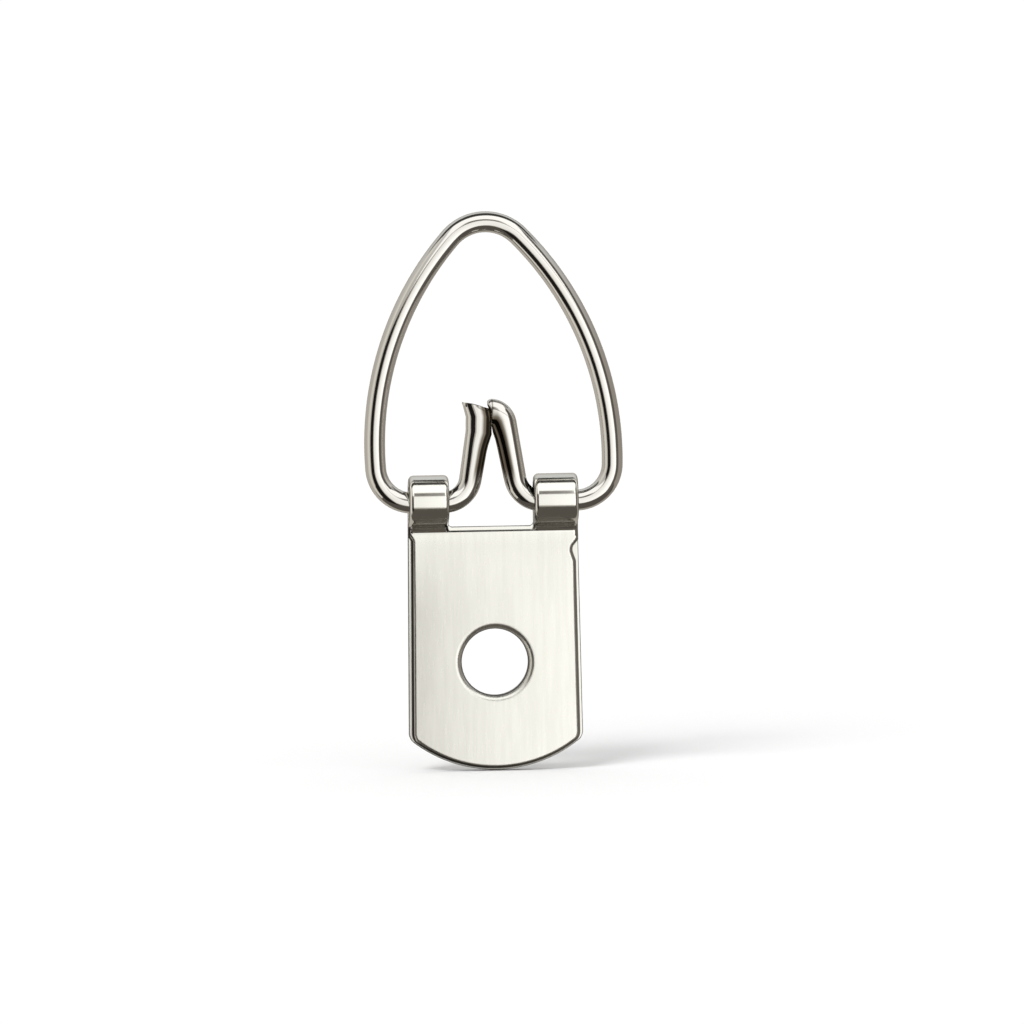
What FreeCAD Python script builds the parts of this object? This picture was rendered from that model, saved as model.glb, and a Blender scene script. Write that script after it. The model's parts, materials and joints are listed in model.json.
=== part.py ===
import FreeCAD, Part
import math
import os
import Sketcher

# A strap hanger for hanging a picture: a folded sheet-metal strap with one screw hole, and a bent
# wire ring that swings in the two ears of the fold. Millimetres and degrees.
# The origin is the centre of the screw hole on the back face. X points right, Z up to the ring,
# and -Y out of the wall towards the viewer.

SIZES = {
    # The sheet and its fold, seen from the side.
    "sheet_thickness": 0.45,
    "leaf_gap": 0.04,
    "loop_radius": 1.42,
    "loop_height": 9.36,
    "slope_angle": 72.0,
    "joggle_radius": 0.5,
    "blank_margin": 1.0,
    # The strap's outline, seen from the front.
    "strap_width": 9.88,
    "side_flare": 0.57,
    "foot_depth": 6.17,
    "foot_radius": 7.7,
    "foot_corner_radius": 0.7,
    # The front leaf is trimmed a little narrower and shorter than the back leaf.
    "front_side_inset": 0.16,
    "front_foot_inset": 0.07,
    "left_shoulder_drop": 0.13,
    "right_shoulder_drop": 0.43,
    "shoulder_angle": 40.0,
    "nick_depth": 0.17,
    "nick_floor_length": 0.25,
    "nick_return_length": 0.55,
    "shoulder_rounding": 0.22,
    # The window through the fold, which leaves the two ears.
    "window_width": 4.86,
    "window_offset": -0.12,
    "window_floor_rise": 0.42,
    "window_lip_drop": 0.27,
    "window_corner_radius": 0.22,
    # The screw hole, and the rolled edges that the punch leaves, drawn as flats of the same size.
    "hole_radius": 1.9,
    "hole_roll": 0.34,
    "edge_roll": 0.18,
    # The ring's wire and where its foot runs through the ears.
    "wire_radius": 0.6,
    "foot_play": 0.15,
    "board_clearance": 0.05,
    # The bow of the ring, along the middle of the wire.
    "ring_height": 16.0,
    "ring_half_width": 6.77,
    "corner_radius": 2.1,
    "corner_offset": 0.08,
    "side_radius": 18.07,
    "apex_radius": 2.67,
    "apex_offset": -0.21,
    # The two legs, where the wire's ends turn up inside the window.
    "bend_start": 2.82,
    "bend_radius": 1.56,
    "leg_angle": 80.0,
    "leg_half_width": 0.7,
    "leg_half_depth": 0.49,
    "left_leg_length": 2.71,
    "neck_shift": 0.1,
    "neck_rise": 0.91,
    "neck_half_width": 0.68,
    "flare_shift": -0.05,
    "flare_rise": 1.48,
    "flare_half_width": 0.88,
    "flare_half_depth": 0.42,
    "flare_slope": 17.0,
    "right_leg_length": 3.23,
    "tip_radius": 0.8,
    "tip_turn": 85.0,
    "tip_rounding": 0.22,
    "leg_gap": 0.04,
    "beak_height": 5.26,
    "beak_slope": 52.0,
}

# The height at which the front leaf leaves its flat and bends out towards the loop. The shoulder,
# the nick and the window are set out from it.
JOGGLE_FOOT = ("=loop_height - (loop_radius + joggle_radius"
               " + (loop_radius - 2 * sheet_thickness - leaf_gap - joggle_radius)"
               " * cos(slope_angle * 1 deg)) / sin(slope_angle * 1 deg)")

ORIGIN = (-1, 1)
ACROSS = -1
UPRIGHT = -2
START, END, CENTRE = 1, 2, 3
TOUCH = 1e-4


def sine(degrees):
    return math.sin(math.radians(degrees))


def cosine(degrees):
    return math.cos(math.radians(degrees))


def tangent(degrees):
    return math.tan(math.radians(degrees))


def joggle_foot():
    """Work out the height at which the front leaf bends out, as the sheet does."""
    front = 2 * SIZES["sheet_thickness"] + SIZES["leaf_gap"]
    outer = SIZES["loop_radius"]
    joggle = SIZES["joggle_radius"]
    slope = SIZES["slope_angle"]
    rise = (outer + joggle + (outer - front - joggle) * cosine(slope)) / sine(slope)
    return SIZES["loop_height"] - rise


def make_sheet(doc):
    """Write the driving sizes and the joggle's height into a sheet, each under its own alias."""
    sheet = doc.addObject("Spreadsheet::Sheet", "Sizes")
    rows = list(SIZES.items()) + [("joggle_foot", JOGGLE_FOOT)]
    for row, (alias, value) in enumerate(rows, start=1):
        sheet.set(f"A{row}", alias)
        sheet.set(f"B{row}", str(value))
        sheet.setAlias(f"B{row}", alias)
    doc.recompute()
    return sheet


class Drawing:
    """A sketch on one of a body's own origin planes, held by constraints tied to the sheet."""

    def __init__(self, body, name, plane_role):
        self.sketch = body.newObject("Sketcher::SketchObject", name)
        plane = next(item for item in body.Origin.OriginFeatures if item.Role == plane_role)
        self.sketch.AttachmentSupport = [(plane, "")]
        self.sketch.MapMode = "FlatFace"

    def line(self, start, end):
        segment = Part.LineSegment(FreeCAD.Vector(*start, 0), FreeCAD.Vector(*end, 0))
        return self.sketch.addGeometry(segment, False)

    def arc(self, centre, radius, start_angle, end_angle):
        """Draw an arc that runs anticlockwise between two angles in degrees."""
        circle = Part.Circle(FreeCAD.Vector(*centre, 0), FreeCAD.Vector(0, 0, 1), radius)
        bow = Part.ArcOfCircle(circle, math.radians(start_angle), math.radians(end_angle))
        return self.sketch.addGeometry(bow, False)

    def guide_point(self, place):
        return self.sketch.addGeometry(Part.Point(FreeCAD.Vector(*place, 0)), True)

    def tie(self, kind, *where):
        self.sketch.addConstraint(Sketcher.Constraint(kind, *where))

    def size(self, expression, kind, *where):
        """Hold a distance, radius or angle to a formula of the sheet's cells."""
        value = self.sketch.evalExpression(expression)
        if kind == "Angle":
            value = math.radians(value.getValueAs("deg").Value)
        index = self.sketch.addConstraint(Sketcher.Constraint(kind, *where, float(value)))
        self.sketch.setExpression(f"Constraints[{index}]", expression)

    def shift(self, depth_expression):
        """Move the whole sketch along its plane's normal."""
        self.sketch.setExpression("AttachmentOffset.Base.z", depth_expression)


def new_body(doc, label):
    body = doc.addObject("PartDesign::Body", label)
    body.Label = label
    return body


def cut(body, name, drawing, towards_front_only):
    """Cut a drawing through the sheet, either both leaves or only what lies in front."""
    pocket = body.newObject("PartDesign::Pocket", name)
    pocket.Profile = drawing.sketch
    pocket.Type = "ThroughAll"
    if towards_front_only:
        pocket.Reversed = True
    else:
        pocket.SideType = "Symmetric"
    return pocket


def dress_edges(body, kind, name, feature, edges, size_expression):
    """Round chosen edges of a feature with a fillet, or break them with a chamfer."""
    names = [f"Edge{index}" for index, edge in enumerate(feature.Shape.Edges, start=1)
             if any(edge.isSame(chosen) for chosen in edges)]
    dressing = body.newObject(f"PartDesign::{kind}", name)
    dressing.Base = (feature, names)
    dressing.setExpression("Radius" if kind == "Fillet" else "Size", size_expression)
    return dressing


# The strap.

def draw_side_profile(body):
    """Draw the folded sheet from the side: back leaf, loop, slope, joggle and front leaf."""
    thickness = SIZES["sheet_thickness"]
    gap = SIZES["leaf_gap"]
    outer = SIZES["loop_radius"]
    slope = SIZES["slope_angle"]
    joggle = SIZES["joggle_radius"]
    bore = outer - thickness
    front = 2 * thickness + gap
    loop = (-outer, SIZES["loop_height"])
    bend = (-front - joggle, joggle_foot())
    bottom = -SIZES["foot_depth"] - SIZES["blank_margin"]

    def on_loop(radius):
        return (loop[0] - radius * cosine(slope), loop[1] - radius * sine(slope))

    def on_bend(radius):
        return (bend[0] + radius * cosine(slope), bend[1] + radius * sine(slope))

    drawing = Drawing(body, "side_profile", "YZ_Plane")
    back_outer = drawing.line((0, bottom), (0, loop[1]))
    loop_outer = drawing.arc(loop, outer, 0, 180 + slope)
    slope_outer = drawing.line(on_loop(outer), on_bend(joggle))
    bend_outer = drawing.arc(bend, joggle, 0, slope)
    front_outer = drawing.line((-front, bend[1]), (-front, bottom))
    front_end = drawing.line((-front, bottom), (thickness - front, bottom))
    front_inner = drawing.line((thickness - front, bottom), (thickness - front, bend[1]))
    bend_inner = drawing.arc(bend, joggle + thickness, 0, slope)
    slope_inner = drawing.line(on_bend(joggle + thickness), on_loop(bore))
    loop_inner = drawing.arc(loop, bore, 0, 180 + slope)
    back_inner = drawing.line((-thickness, loop[1]), (-thickness, bottom))
    back_end = drawing.line((-thickness, bottom), (0, bottom))

    drawing.tie("Tangent", back_outer, END, loop_outer, START)
    drawing.tie("Tangent", loop_outer, END, slope_outer, START)
    drawing.tie("Tangent", slope_outer, END, bend_outer, END)
    drawing.tie("Tangent", bend_outer, START, front_outer, START)
    drawing.tie("Coincident", front_outer, END, front_end, START)
    drawing.tie("Coincident", front_end, END, front_inner, START)
    drawing.tie("Tangent", front_inner, END, bend_inner, START)
    drawing.tie("Tangent", bend_inner, END, slope_inner, START)
    drawing.tie("Tangent", slope_inner, END, loop_inner, END)
    drawing.tie("Tangent", loop_inner, START, back_inner, START)
    drawing.tie("Coincident", back_inner, END, back_end, START)
    drawing.tie("Coincident", back_end, END, back_outer, START)
    drawing.tie("Coincident", loop_outer, CENTRE, loop_inner, CENTRE)
    drawing.tie("Coincident", bend_outer, CENTRE, bend_inner, CENTRE)
    for upright in (back_outer, front_outer, front_inner, back_inner):
        drawing.tie("Vertical", upright)
    drawing.tie("Horizontal", front_end)
    drawing.tie("Horizontal", back_end)
    drawing.tie("PointOnObject", back_outer, START, UPRIGHT)
    drawing.size("Sizes.loop_radius", "Radius", loop_outer)
    drawing.size("Sizes.loop_radius - Sizes.sheet_thickness", "Radius", loop_inner)
    drawing.size("Sizes.joggle_radius", "Radius", bend_outer)
    drawing.size("Sizes.joggle_radius + Sizes.sheet_thickness", "Radius", bend_inner)
    drawing.size("Sizes.loop_height", "DistanceY", *ORIGIN, loop_outer, CENTRE)
    drawing.size("(Sizes.slope_angle - 90) * 1 deg", "Angle", slope_outer)
    drawing.size("2 * Sizes.sheet_thickness + Sizes.leaf_gap", "DistanceX",
                 front_outer, END, *ORIGIN)
    drawing.size("Sizes.foot_depth + Sizes.blank_margin", "DistanceY", front_outer, END, *ORIGIN)
    drawing.size("Sizes.foot_depth + Sizes.blank_margin", "DistanceY", back_inner, END, *ORIGIN)
    outer_run = (back_outer, loop_outer, slope_outer, bend_outer, front_outer)
    return drawing, outer_run


def foot_points(half_width, depth, radius):
    """Work out where a leaf's flared sides, corner arcs and foot arc meet, on its left side."""
    flare = SIZES["side_flare"]
    corner = SIZES["foot_corner_radius"]
    middle = (0, radius - depth)
    along = (sine(flare), cosine(flare))
    inside = (corner * cosine(flare) - half_width, -corner * sine(flare) - middle[1])
    drop = inside[0] * along[0] + inside[1] * along[1]
    reach = math.sqrt(drop ** 2 - inside[0] ** 2 - inside[1] ** 2 + (radius - corner) ** 2)
    step = -drop - reach
    centre = (inside[0] + step * along[0], inside[1] + step * along[1] + middle[1])
    turn = math.degrees(math.atan2(centre[1] - middle[1], centre[0])) % 360
    side_end = (centre[0] - corner * cosine(flare), centre[1] + corner * sine(flare))
    return middle, centre, turn, side_end


def draw_foot(drawing, half_width, inset_names, left_top, right_top):
    """Draw the two sides, the corners and the arc of a leaf's foot as one tangent run."""
    side_inset, foot_inset = inset_names
    flare = SIZES["side_flare"]
    corner = SIZES["foot_corner_radius"]
    foot_inset_value = SIZES[foot_inset] if foot_inset else 0
    radius = SIZES["foot_radius"] - foot_inset_value
    depth = SIZES["foot_depth"] - foot_inset_value
    middle, centre, turn, side_end = foot_points(half_width, depth, radius)
    left = drawing.line(left_top, side_end)
    left_corner = drawing.arc(centre, corner, 180 - flare, turn)
    foot = drawing.arc(middle, radius, turn, 540 - turn)
    right_corner = drawing.arc((-centre[0], centre[1]), corner, 540 - turn, 360 + flare)
    right = drawing.line((-side_end[0], side_end[1]), right_top)
    drawing.tie("Tangent", left, END, left_corner, START)
    drawing.tie("Tangent", left_corner, END, foot, START)
    drawing.tie("Tangent", foot, END, right_corner, START)
    drawing.tie("Tangent", right_corner, END, right, START)
    drawing.tie("PointOnObject", foot, CENTRE, UPRIGHT)
    minus_foot = f" - Sizes.{foot_inset}" if foot_inset else ""
    minus_side = f" - Sizes.{side_inset} / cos(Sizes.side_flare * 1 deg)" if side_inset else ""
    drawing.size("Sizes.foot_radius" + minus_foot, "Radius", foot)
    drawing.size("Sizes.foot_corner_radius", "Radius", left_corner)
    drawing.size("Sizes.foot_corner_radius", "Radius", right_corner)
    drawing.size("Sizes.foot_radius - Sizes.foot_depth", "DistanceY", *ORIGIN, foot, CENTRE)
    for line, sign in ((left, -1), (right, 1)):
        mark = drawing.guide_point((sign * half_width, 0))
        drawing.tie("PointOnObject", mark, START, ACROSS)
        drawing.tie("PointOnObject", mark, START, line)
        ends = (mark, START, *ORIGIN) if sign < 0 else (*ORIGIN, mark, START)
        drawing.size("Sizes.strap_width / 2" + minus_side, "DistanceX", *ends)
    drawing.size("(-90 - Sizes.side_flare) * 1 deg", "Angle", left)
    drawing.size("(90 + Sizes.side_flare) * 1 deg", "Angle", right)
    return left, right


def frame_corners(drawing, reach, low, left_high, right_high):
    """Draw three sides of a frame round the strap, open at the top, to bound what is cut off."""
    left = drawing.line((-reach, left_high), (-reach, low))
    bottom = drawing.line((-reach, low), (reach, low))
    right = drawing.line((reach, low), (reach, right_high))
    drawing.tie("Coincident", left, END, bottom, START)
    drawing.tie("Coincident", bottom, END, right, START)
    drawing.tie("Vertical", left)
    drawing.tie("Horizontal", bottom)
    drawing.tie("Vertical", right)
    drawing.size("Sizes.strap_width / 2 + Sizes.blank_margin", "DistanceX", left, END, *ORIGIN)
    drawing.size("Sizes.strap_width / 2 + Sizes.blank_margin", "DistanceX", *ORIGIN, right, START)
    drawing.size("Sizes.foot_depth + 2 * Sizes.blank_margin", "DistanceY", left, END, *ORIGIN)
    return left, right


def draw_outline(body):
    """Bound what is trimmed off both leaves: all that lies outside the sides and the foot."""
    half = SIZES["strap_width"] / 2
    top = SIZES["loop_height"] + SIZES["loop_radius"] + SIZES["blank_margin"]
    reach = half + SIZES["blank_margin"]
    low = -SIZES["foot_depth"] - 2 * SIZES["blank_margin"]
    side_top = half - top * tangent(SIZES["side_flare"])
    drawing = Drawing(body, "outline", "XZ_Plane")
    left, right = draw_foot(drawing, half, (None, None), (-side_top, top), (side_top, top))
    frame_left, frame_right = frame_corners(drawing, reach, low, top, top)
    left_lid = drawing.line((-side_top, top), (-reach, top))
    right_lid = drawing.line((reach, top), (side_top, top))
    drawing.tie("Coincident", left, START, left_lid, START)
    drawing.tie("Coincident", left_lid, END, frame_left, START)
    drawing.tie("Coincident", frame_right, END, right_lid, START)
    drawing.tie("Coincident", right_lid, END, right, END)
    for lid in (left_lid, right_lid):
        drawing.tie("Horizontal", lid)
        drawing.size("Sizes.loop_height + Sizes.loop_radius + Sizes.blank_margin",
                     "DistanceY", *ORIGIN, lid, START)
    return drawing


def draw_front_trim(body):
    """Bound what is trimmed off the front leaf only: a left shoulder, a right nick, the foot."""
    flare = SIZES["side_flare"]
    slant = SIZES["shoulder_angle"]
    inset = SIZES["front_side_inset"]
    half = SIZES["strap_width"] / 2
    front_half = half - inset / cosine(flare)
    reach = half + SIZES["blank_margin"]
    low = -SIZES["foot_depth"] - 2 * SIZES["blank_margin"]

    def edge(width, height):
        return width - height * tangent(flare)

    left_high = joggle_foot() - SIZES["left_shoulder_drop"]
    left_start = (-edge(half, left_high), left_high)
    fall = inset / sine(slant - flare)
    left_step = (left_start[0] + fall * sine(slant), left_high - fall * cosine(slant))

    right_high = joggle_foot() - SIZES["right_shoulder_drop"]
    right_start = (edge(half, right_high), right_high)
    bite = (inset + SIZES["nick_depth"]) / sine(slant - flare)
    nick_top = (right_start[0] - bite * sine(slant), right_high - bite * cosine(slant))
    nick_bottom = (nick_top[0], nick_top[1] - SIZES["nick_floor_length"])
    nick_end_height = nick_bottom[1] - SIZES["nick_return_length"]
    nick_end = (edge(front_half, nick_end_height), nick_end_height)

    drawing = Drawing(body, "front_trim", "XZ_Plane")
    drawing.shift("Sizes.sheet_thickness + Sizes.leaf_gap / 2")
    left, right = draw_foot(drawing, front_half, ("front_side_inset", "front_foot_inset"),
                            left_step, nick_end)
    frame_left, frame_right = frame_corners(drawing, reach, low, left_high, right_high)
    left_lid = drawing.line((-reach, left_high), left_start)
    left_slant = drawing.line(left_start, left_step)
    nick_return = drawing.line(nick_end, nick_bottom)
    nick_floor = drawing.line(nick_bottom, nick_top)
    nick_slant = drawing.line(nick_top, right_start)
    right_lid = drawing.line(right_start, (reach, right_high))
    run = (left_lid, left_slant, left)
    for first, second in zip(run, run[1:]):
        drawing.tie("Coincident", first, END, second, START)
    drawing.tie("Coincident", left_lid, START, frame_left, START)
    run = (right, nick_return, nick_floor, nick_slant, right_lid)
    for first, second in zip(run, run[1:]):
        drawing.tie("Coincident", first, END, second, START)
    drawing.tie("Coincident", right_lid, END, frame_right, END)
    for lid in (left_lid, right_lid):
        drawing.tie("Horizontal", lid)
    drawing.tie("Vertical", nick_floor)
    left_height = "(Sizes.joggle_foot - Sizes.left_shoulder_drop)"
    right_height = "(Sizes.joggle_foot - Sizes.right_shoulder_drop)"
    side = "Sizes.strap_width / 2 - {0} * tan(Sizes.side_flare * 1 deg)"
    drawing.size(left_height, "DistanceY", *ORIGIN, left_lid, END)
    drawing.size(side.format(left_height), "DistanceX", left_lid, END, *ORIGIN)
    drawing.size("(Sizes.shoulder_angle - 90) * 1 deg", "Angle", left_slant)
    drawing.size(right_height, "DistanceY", *ORIGIN, right_lid, START)
    drawing.size(side.format(right_height), "DistanceX", *ORIGIN, right_lid, START)
    drawing.size("(90 - Sizes.shoulder_angle) * 1 deg", "Angle", nick_slant)
    drawing.size("(Sizes.front_side_inset + Sizes.nick_depth)"
                 " / sin((Sizes.shoulder_angle - Sizes.side_flare) * 1 deg)",
                 "Distance", nick_slant, START, nick_slant, END)
    drawing.size("Sizes.nick_floor_length", "DistanceY", nick_floor, START, nick_floor, END)
    drawing.size("Sizes.nick_return_length", "DistanceY", nick_return, START, nick_return, END)
    return drawing


def draw_window(body, name, floor_expression, floor, front_only):
    """Draw the window through the fold, with rounded lower corners and open at the top."""
    half = SIZES["window_width"] / 2
    middle = SIZES["window_offset"]
    corner = SIZES["window_corner_radius"]
    top = SIZES["loop_height"] + SIZES["loop_radius"] + SIZES["blank_margin"]
    left_x, right_x = middle - half, middle + half
    drawing = Drawing(body, name, "XZ_Plane")
    if front_only:
        drawing.shift("Sizes.sheet_thickness + Sizes.leaf_gap / 2")
    left = drawing.line((left_x, top), (left_x, floor + corner))
    left_corner = drawing.arc((left_x + corner, floor + corner), corner, 180, 270)
    sill = drawing.line((left_x + corner, floor), (right_x - corner, floor))
    right_corner = drawing.arc((right_x - corner, floor + corner), corner, 270, 360)
    right = drawing.line((right_x, floor + corner), (right_x, top))
    head = drawing.line((right_x, top), (left_x, top))
    run = (left, left_corner, sill, right_corner, right)
    for first, second in zip(run, run[1:]):
        drawing.tie("Tangent", first, END, second, START)
    drawing.tie("Coincident", right, END, head, START)
    drawing.tie("Coincident", head, END, left, START)
    drawing.tie("Vertical", left)
    drawing.tie("Vertical", right)
    drawing.tie("Horizontal", sill)
    drawing.tie("Horizontal", head)
    drawing.size("Sizes.window_corner_radius", "Radius", left_corner)
    drawing.size("Sizes.window_corner_radius", "Radius", right_corner)
    drawing.size("Sizes.window_width", "DistanceX", head, END, head, START)
    drawing.size("Sizes.window_width / 2 - Sizes.window_offset", "DistanceX", head, END, *ORIGIN)
    drawing.size(floor_expression, "DistanceY", *ORIGIN, sill, START)
    drawing.size("Sizes.loop_height + Sizes.loop_radius + Sizes.blank_margin",
                 "DistanceY", *ORIGIN, head, START)
    return drawing


def draw_hole(body):
    drawing = Drawing(body, "hole_circle", "XZ_Plane")
    circle = Part.Circle(FreeCAD.Vector(0, 0, 0), FreeCAD.Vector(0, 0, 1), SIZES["hole_radius"])
    edge = drawing.sketch.addGeometry(circle, False)
    drawing.tie("Coincident", edge, CENTRE, *ORIGIN)
    drawing.size("Sizes.hole_radius", "Radius", edge)
    return drawing


def skin_rims(shape, profile, outer_run):
    """Find the edges where the outer skin of the folded sheet meets a cut edge or the hole."""
    outer_path = Part.Compound([profile.sketch.Geometry[index].toShape() for index in outer_run])

    def on_skin(vertex):
        place = Part.Vertex(vertex.Y, vertex.Z, 0)
        return place.distToShape(outer_path)[0] < TOUCH

    skin = [face for face in shape.Faces if all(on_skin(vertex) for vertex in face.Vertexes)]
    rims = []
    for edge in shape.Edges:
        sides = shape.ancestorsOfType(edge, Part.Face)
        on_outside = sum(any(side.isSame(face) for face in skin) for side in sides)
        if on_outside == 1:
            rims.append(edge)
    return rims


def is_hole_rim(edge):
    return isinstance(edge.Curve, Part.Circle) and edge.Closed


def upright_corners(shape, heights):
    """Find the edges that run straight through the front leaf at its shoulder and nick."""
    thickness = SIZES["sheet_thickness"]
    low, high = heights
    chosen = []
    for edge in shape.Edges:
        box = edge.BoundBox
        through = abs(box.YLength - thickness) < TOUCH and box.XLength + box.ZLength < TOUCH
        if through and box.YMax < -thickness and low < box.ZMin < high:
            chosen.append(edge)
    return chosen


def build_strap(doc):
    body = new_body(doc, "strap")
    profile, outer_run = draw_side_profile(body)
    fold = body.newObject("PartDesign::Pad", "fold")
    fold.Profile = profile.sketch
    fold.SideType = "Symmetric"
    fold.setExpression("Length", "Sizes.strap_width + 2 * Sizes.blank_margin")
    cut(body, "trim_both_leaves", draw_outline(body), False)
    trim = cut(body, "trim_front_leaf", draw_front_trim(body), True)
    doc.recompute()
    bite = SIZES["front_side_inset"] + SIZES["nick_depth"]
    lowest = (joggle_foot() - SIZES["right_shoulder_drop"]
              - bite / tangent(SIZES["shoulder_angle"])
              - SIZES["nick_floor_length"] - 2 * SIZES["nick_return_length"])
    corners = upright_corners(trim.Shape, (lowest, SIZES["loop_height"]))
    dress_edges(body, "Fillet", "shoulder_rounding", trim, corners, "Sizes.shoulder_rounding")
    floor = joggle_foot() + SIZES["window_floor_rise"]
    floor_height = "Sizes.joggle_foot + Sizes.window_floor_rise"
    cut(body, "window", draw_window(body, "window_sketch", floor_height, floor, False), False)
    cut(body, "front_window",
        draw_window(body, "front_window_sketch", floor_height + " - Sizes.window_lip_drop",
                    floor - SIZES["window_lip_drop"], True), True)
    hole = cut(body, "screw_hole", draw_hole(body), False)
    doc.recompute()
    rims = skin_rims(hole.Shape, profile, outer_run)
    front_rim = [edge for edge in rims if is_hole_rim(edge) and edge.BoundBox.YMax < -TOUCH]
    hole_front = dress_edges(body, "Chamfer", "hole_front_roll", hole, front_rim,
                             "Sizes.hole_roll")
    doc.recompute()
    rims = skin_rims(hole_front.Shape, profile, outer_run)
    outside = [edge for edge in rims if not is_hole_rim(edge)]
    dress_edges(body, "Chamfer", "edge_rolls", hole_front, outside, "Sizes.edge_roll")
    doc.recompute()
    return body


# The ring, drawn flat in its own frame, with its foot's axis along X through the origin.

def draw_bow(body):
    """Draw the middle line of the wire from one foot, over the apex, to the other foot."""
    corner = SIZES["corner_radius"]
    side = SIZES["side_radius"]
    apex = SIZES["apex_radius"]
    start = SIZES["bend_start"]
    apex_middle = (SIZES["apex_offset"], SIZES["ring_height"] - apex)

    def side_middle(sign):
        """Find the centre of a side arc that touches both its corner arc and the apex arc."""
        middle = (sign * (SIZES["ring_half_width"] - corner) + SIZES["corner_offset"], corner)
        across = (middle[0] - apex_middle[0], middle[1] - apex_middle[1])
        apart = math.hypot(*across)
        along = ((side - apex) ** 2 - (side - corner) ** 2 + apart ** 2) / (2 * apart)
        aside = math.sqrt((side - apex) ** 2 - along ** 2)
        unit = (across[0] / apart, across[1] / apart)
        centre = (apex_middle[0] + along * unit[0] + sign * aside * unit[1],
                  apex_middle[1] + along * unit[1] - sign * aside * unit[0])
        return middle, centre

    def bearing(origin, place):
        return math.degrees(math.atan2(place[1] - origin[1], place[0] - origin[0])) % 360

    right_middle, right_side_middle = side_middle(1)
    left_middle, left_side_middle = side_middle(-1)
    drawing = Drawing(body, "bow_line", "XZ_Plane")
    right_foot = drawing.line((start, 0), (right_middle[0], 0))
    right_low = bearing(right_side_middle, right_middle)
    right_high = bearing(right_side_middle, apex_middle)
    right_corner = drawing.arc(right_middle, corner, -90, (right_low + 180) % 360 - 180)
    right_side = drawing.arc(right_side_middle, side, (right_low + 180) % 360 - 180, right_high)
    left_high = bearing(left_side_middle, apex_middle)
    left_low = bearing(left_side_middle, left_middle)
    top = drawing.arc(apex_middle, apex, right_high, left_high)
    left_side = drawing.arc(left_side_middle, side, left_high, left_low)
    left_corner = drawing.arc(left_middle, corner, left_low, 270)
    left_foot = drawing.line((left_middle[0], 0), (-start, 0))
    run = (right_foot, right_corner, right_side, top, left_side, left_corner, left_foot)
    for first, second in zip(run, run[1:]):
        drawing.tie("Tangent", first, END, second, START)
    drawing.tie("Horizontal", right_foot)
    drawing.tie("Horizontal", left_foot)
    drawing.tie("PointOnObject", right_foot, START, ACROSS)
    drawing.tie("PointOnObject", left_foot, END, ACROSS)
    drawing.size("Sizes.bend_start", "DistanceX", *ORIGIN, right_foot, START)
    drawing.size("Sizes.bend_start", "DistanceX", left_foot, END, *ORIGIN)
    middle = "Sizes.ring_half_width - Sizes.corner_radius"
    drawing.size(middle + " + Sizes.corner_offset", "DistanceX", *ORIGIN, right_corner, CENTRE)
    drawing.size(middle + " - Sizes.corner_offset", "DistanceX", left_corner, CENTRE, *ORIGIN)
    drawing.size("Sizes.corner_radius", "Radius", right_corner)
    drawing.size("Sizes.corner_radius", "Radius", left_corner)
    drawing.size("Sizes.side_radius", "Radius", right_side)
    drawing.size("Sizes.side_radius", "Radius", left_side)
    drawing.size("Sizes.apex_radius", "Radius", top)
    drawing.size("-Sizes.apex_offset", "DistanceX", top, CENTRE, *ORIGIN)
    drawing.size("Sizes.ring_height - Sizes.apex_radius", "DistanceY", *ORIGIN, top, CENTRE)
    return drawing


def draw_section(body, name, x, height, heading, half_width, half_depth):
    """Draw a round or oval section of the wire, square to its path at one place.

    All the arguments after the name are formulas of the sheet's cells. The heading is the angle
    of the path from X towards Z, and the half width lies in the ring's plane.
    """
    drawing = Drawing(body, name, "XY_Plane")
    sketch = drawing.sketch
    sketch.AttachmentOffset = FreeCAD.Placement(FreeCAD.Vector(0, 0, 0),
                                                FreeCAD.Rotation(FreeCAD.Vector(0, 1, 0), 45))
    sketch.setExpression("AttachmentOffset.Base.x", x)
    sketch.setExpression("AttachmentOffset.Base.z", height)
    sketch.setExpression("AttachmentOffset.Rotation.Angle", f"(90 - ({heading})) * 1 deg")
    if half_width == half_depth:
        radius = sketch.evalExpression(half_width)
        circle = Part.Circle(FreeCAD.Vector(0, 0, 0), FreeCAD.Vector(0, 0, 1), radius)
        edge = sketch.addGeometry(circle, False)
        drawing.tie("Coincident", edge, CENTRE, *ORIGIN)
        drawing.size(half_width, "Radius", edge)
        return drawing
    wide = FreeCAD.Vector(sketch.evalExpression(half_width), 0, 0)
    deep = FreeCAD.Vector(0, sketch.evalExpression(half_depth), 0)
    edge = sketch.addGeometry(Part.Ellipse(wide, deep, FreeCAD.Vector(0, 0, 0)), False)
    sketch.exposeInternalGeometry(edge)
    long_axis, short_axis = edge + 1, edge + 2
    drawing.tie("Coincident", edge, CENTRE, *ORIGIN)
    drawing.tie("Horizontal", long_axis)
    drawing.size(f"2 * ({half_width})", "Distance", long_axis, START, long_axis, END)
    drawing.size(f"2 * ({half_depth})", "Distance", short_axis, START, short_axis, END)
    return drawing


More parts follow.
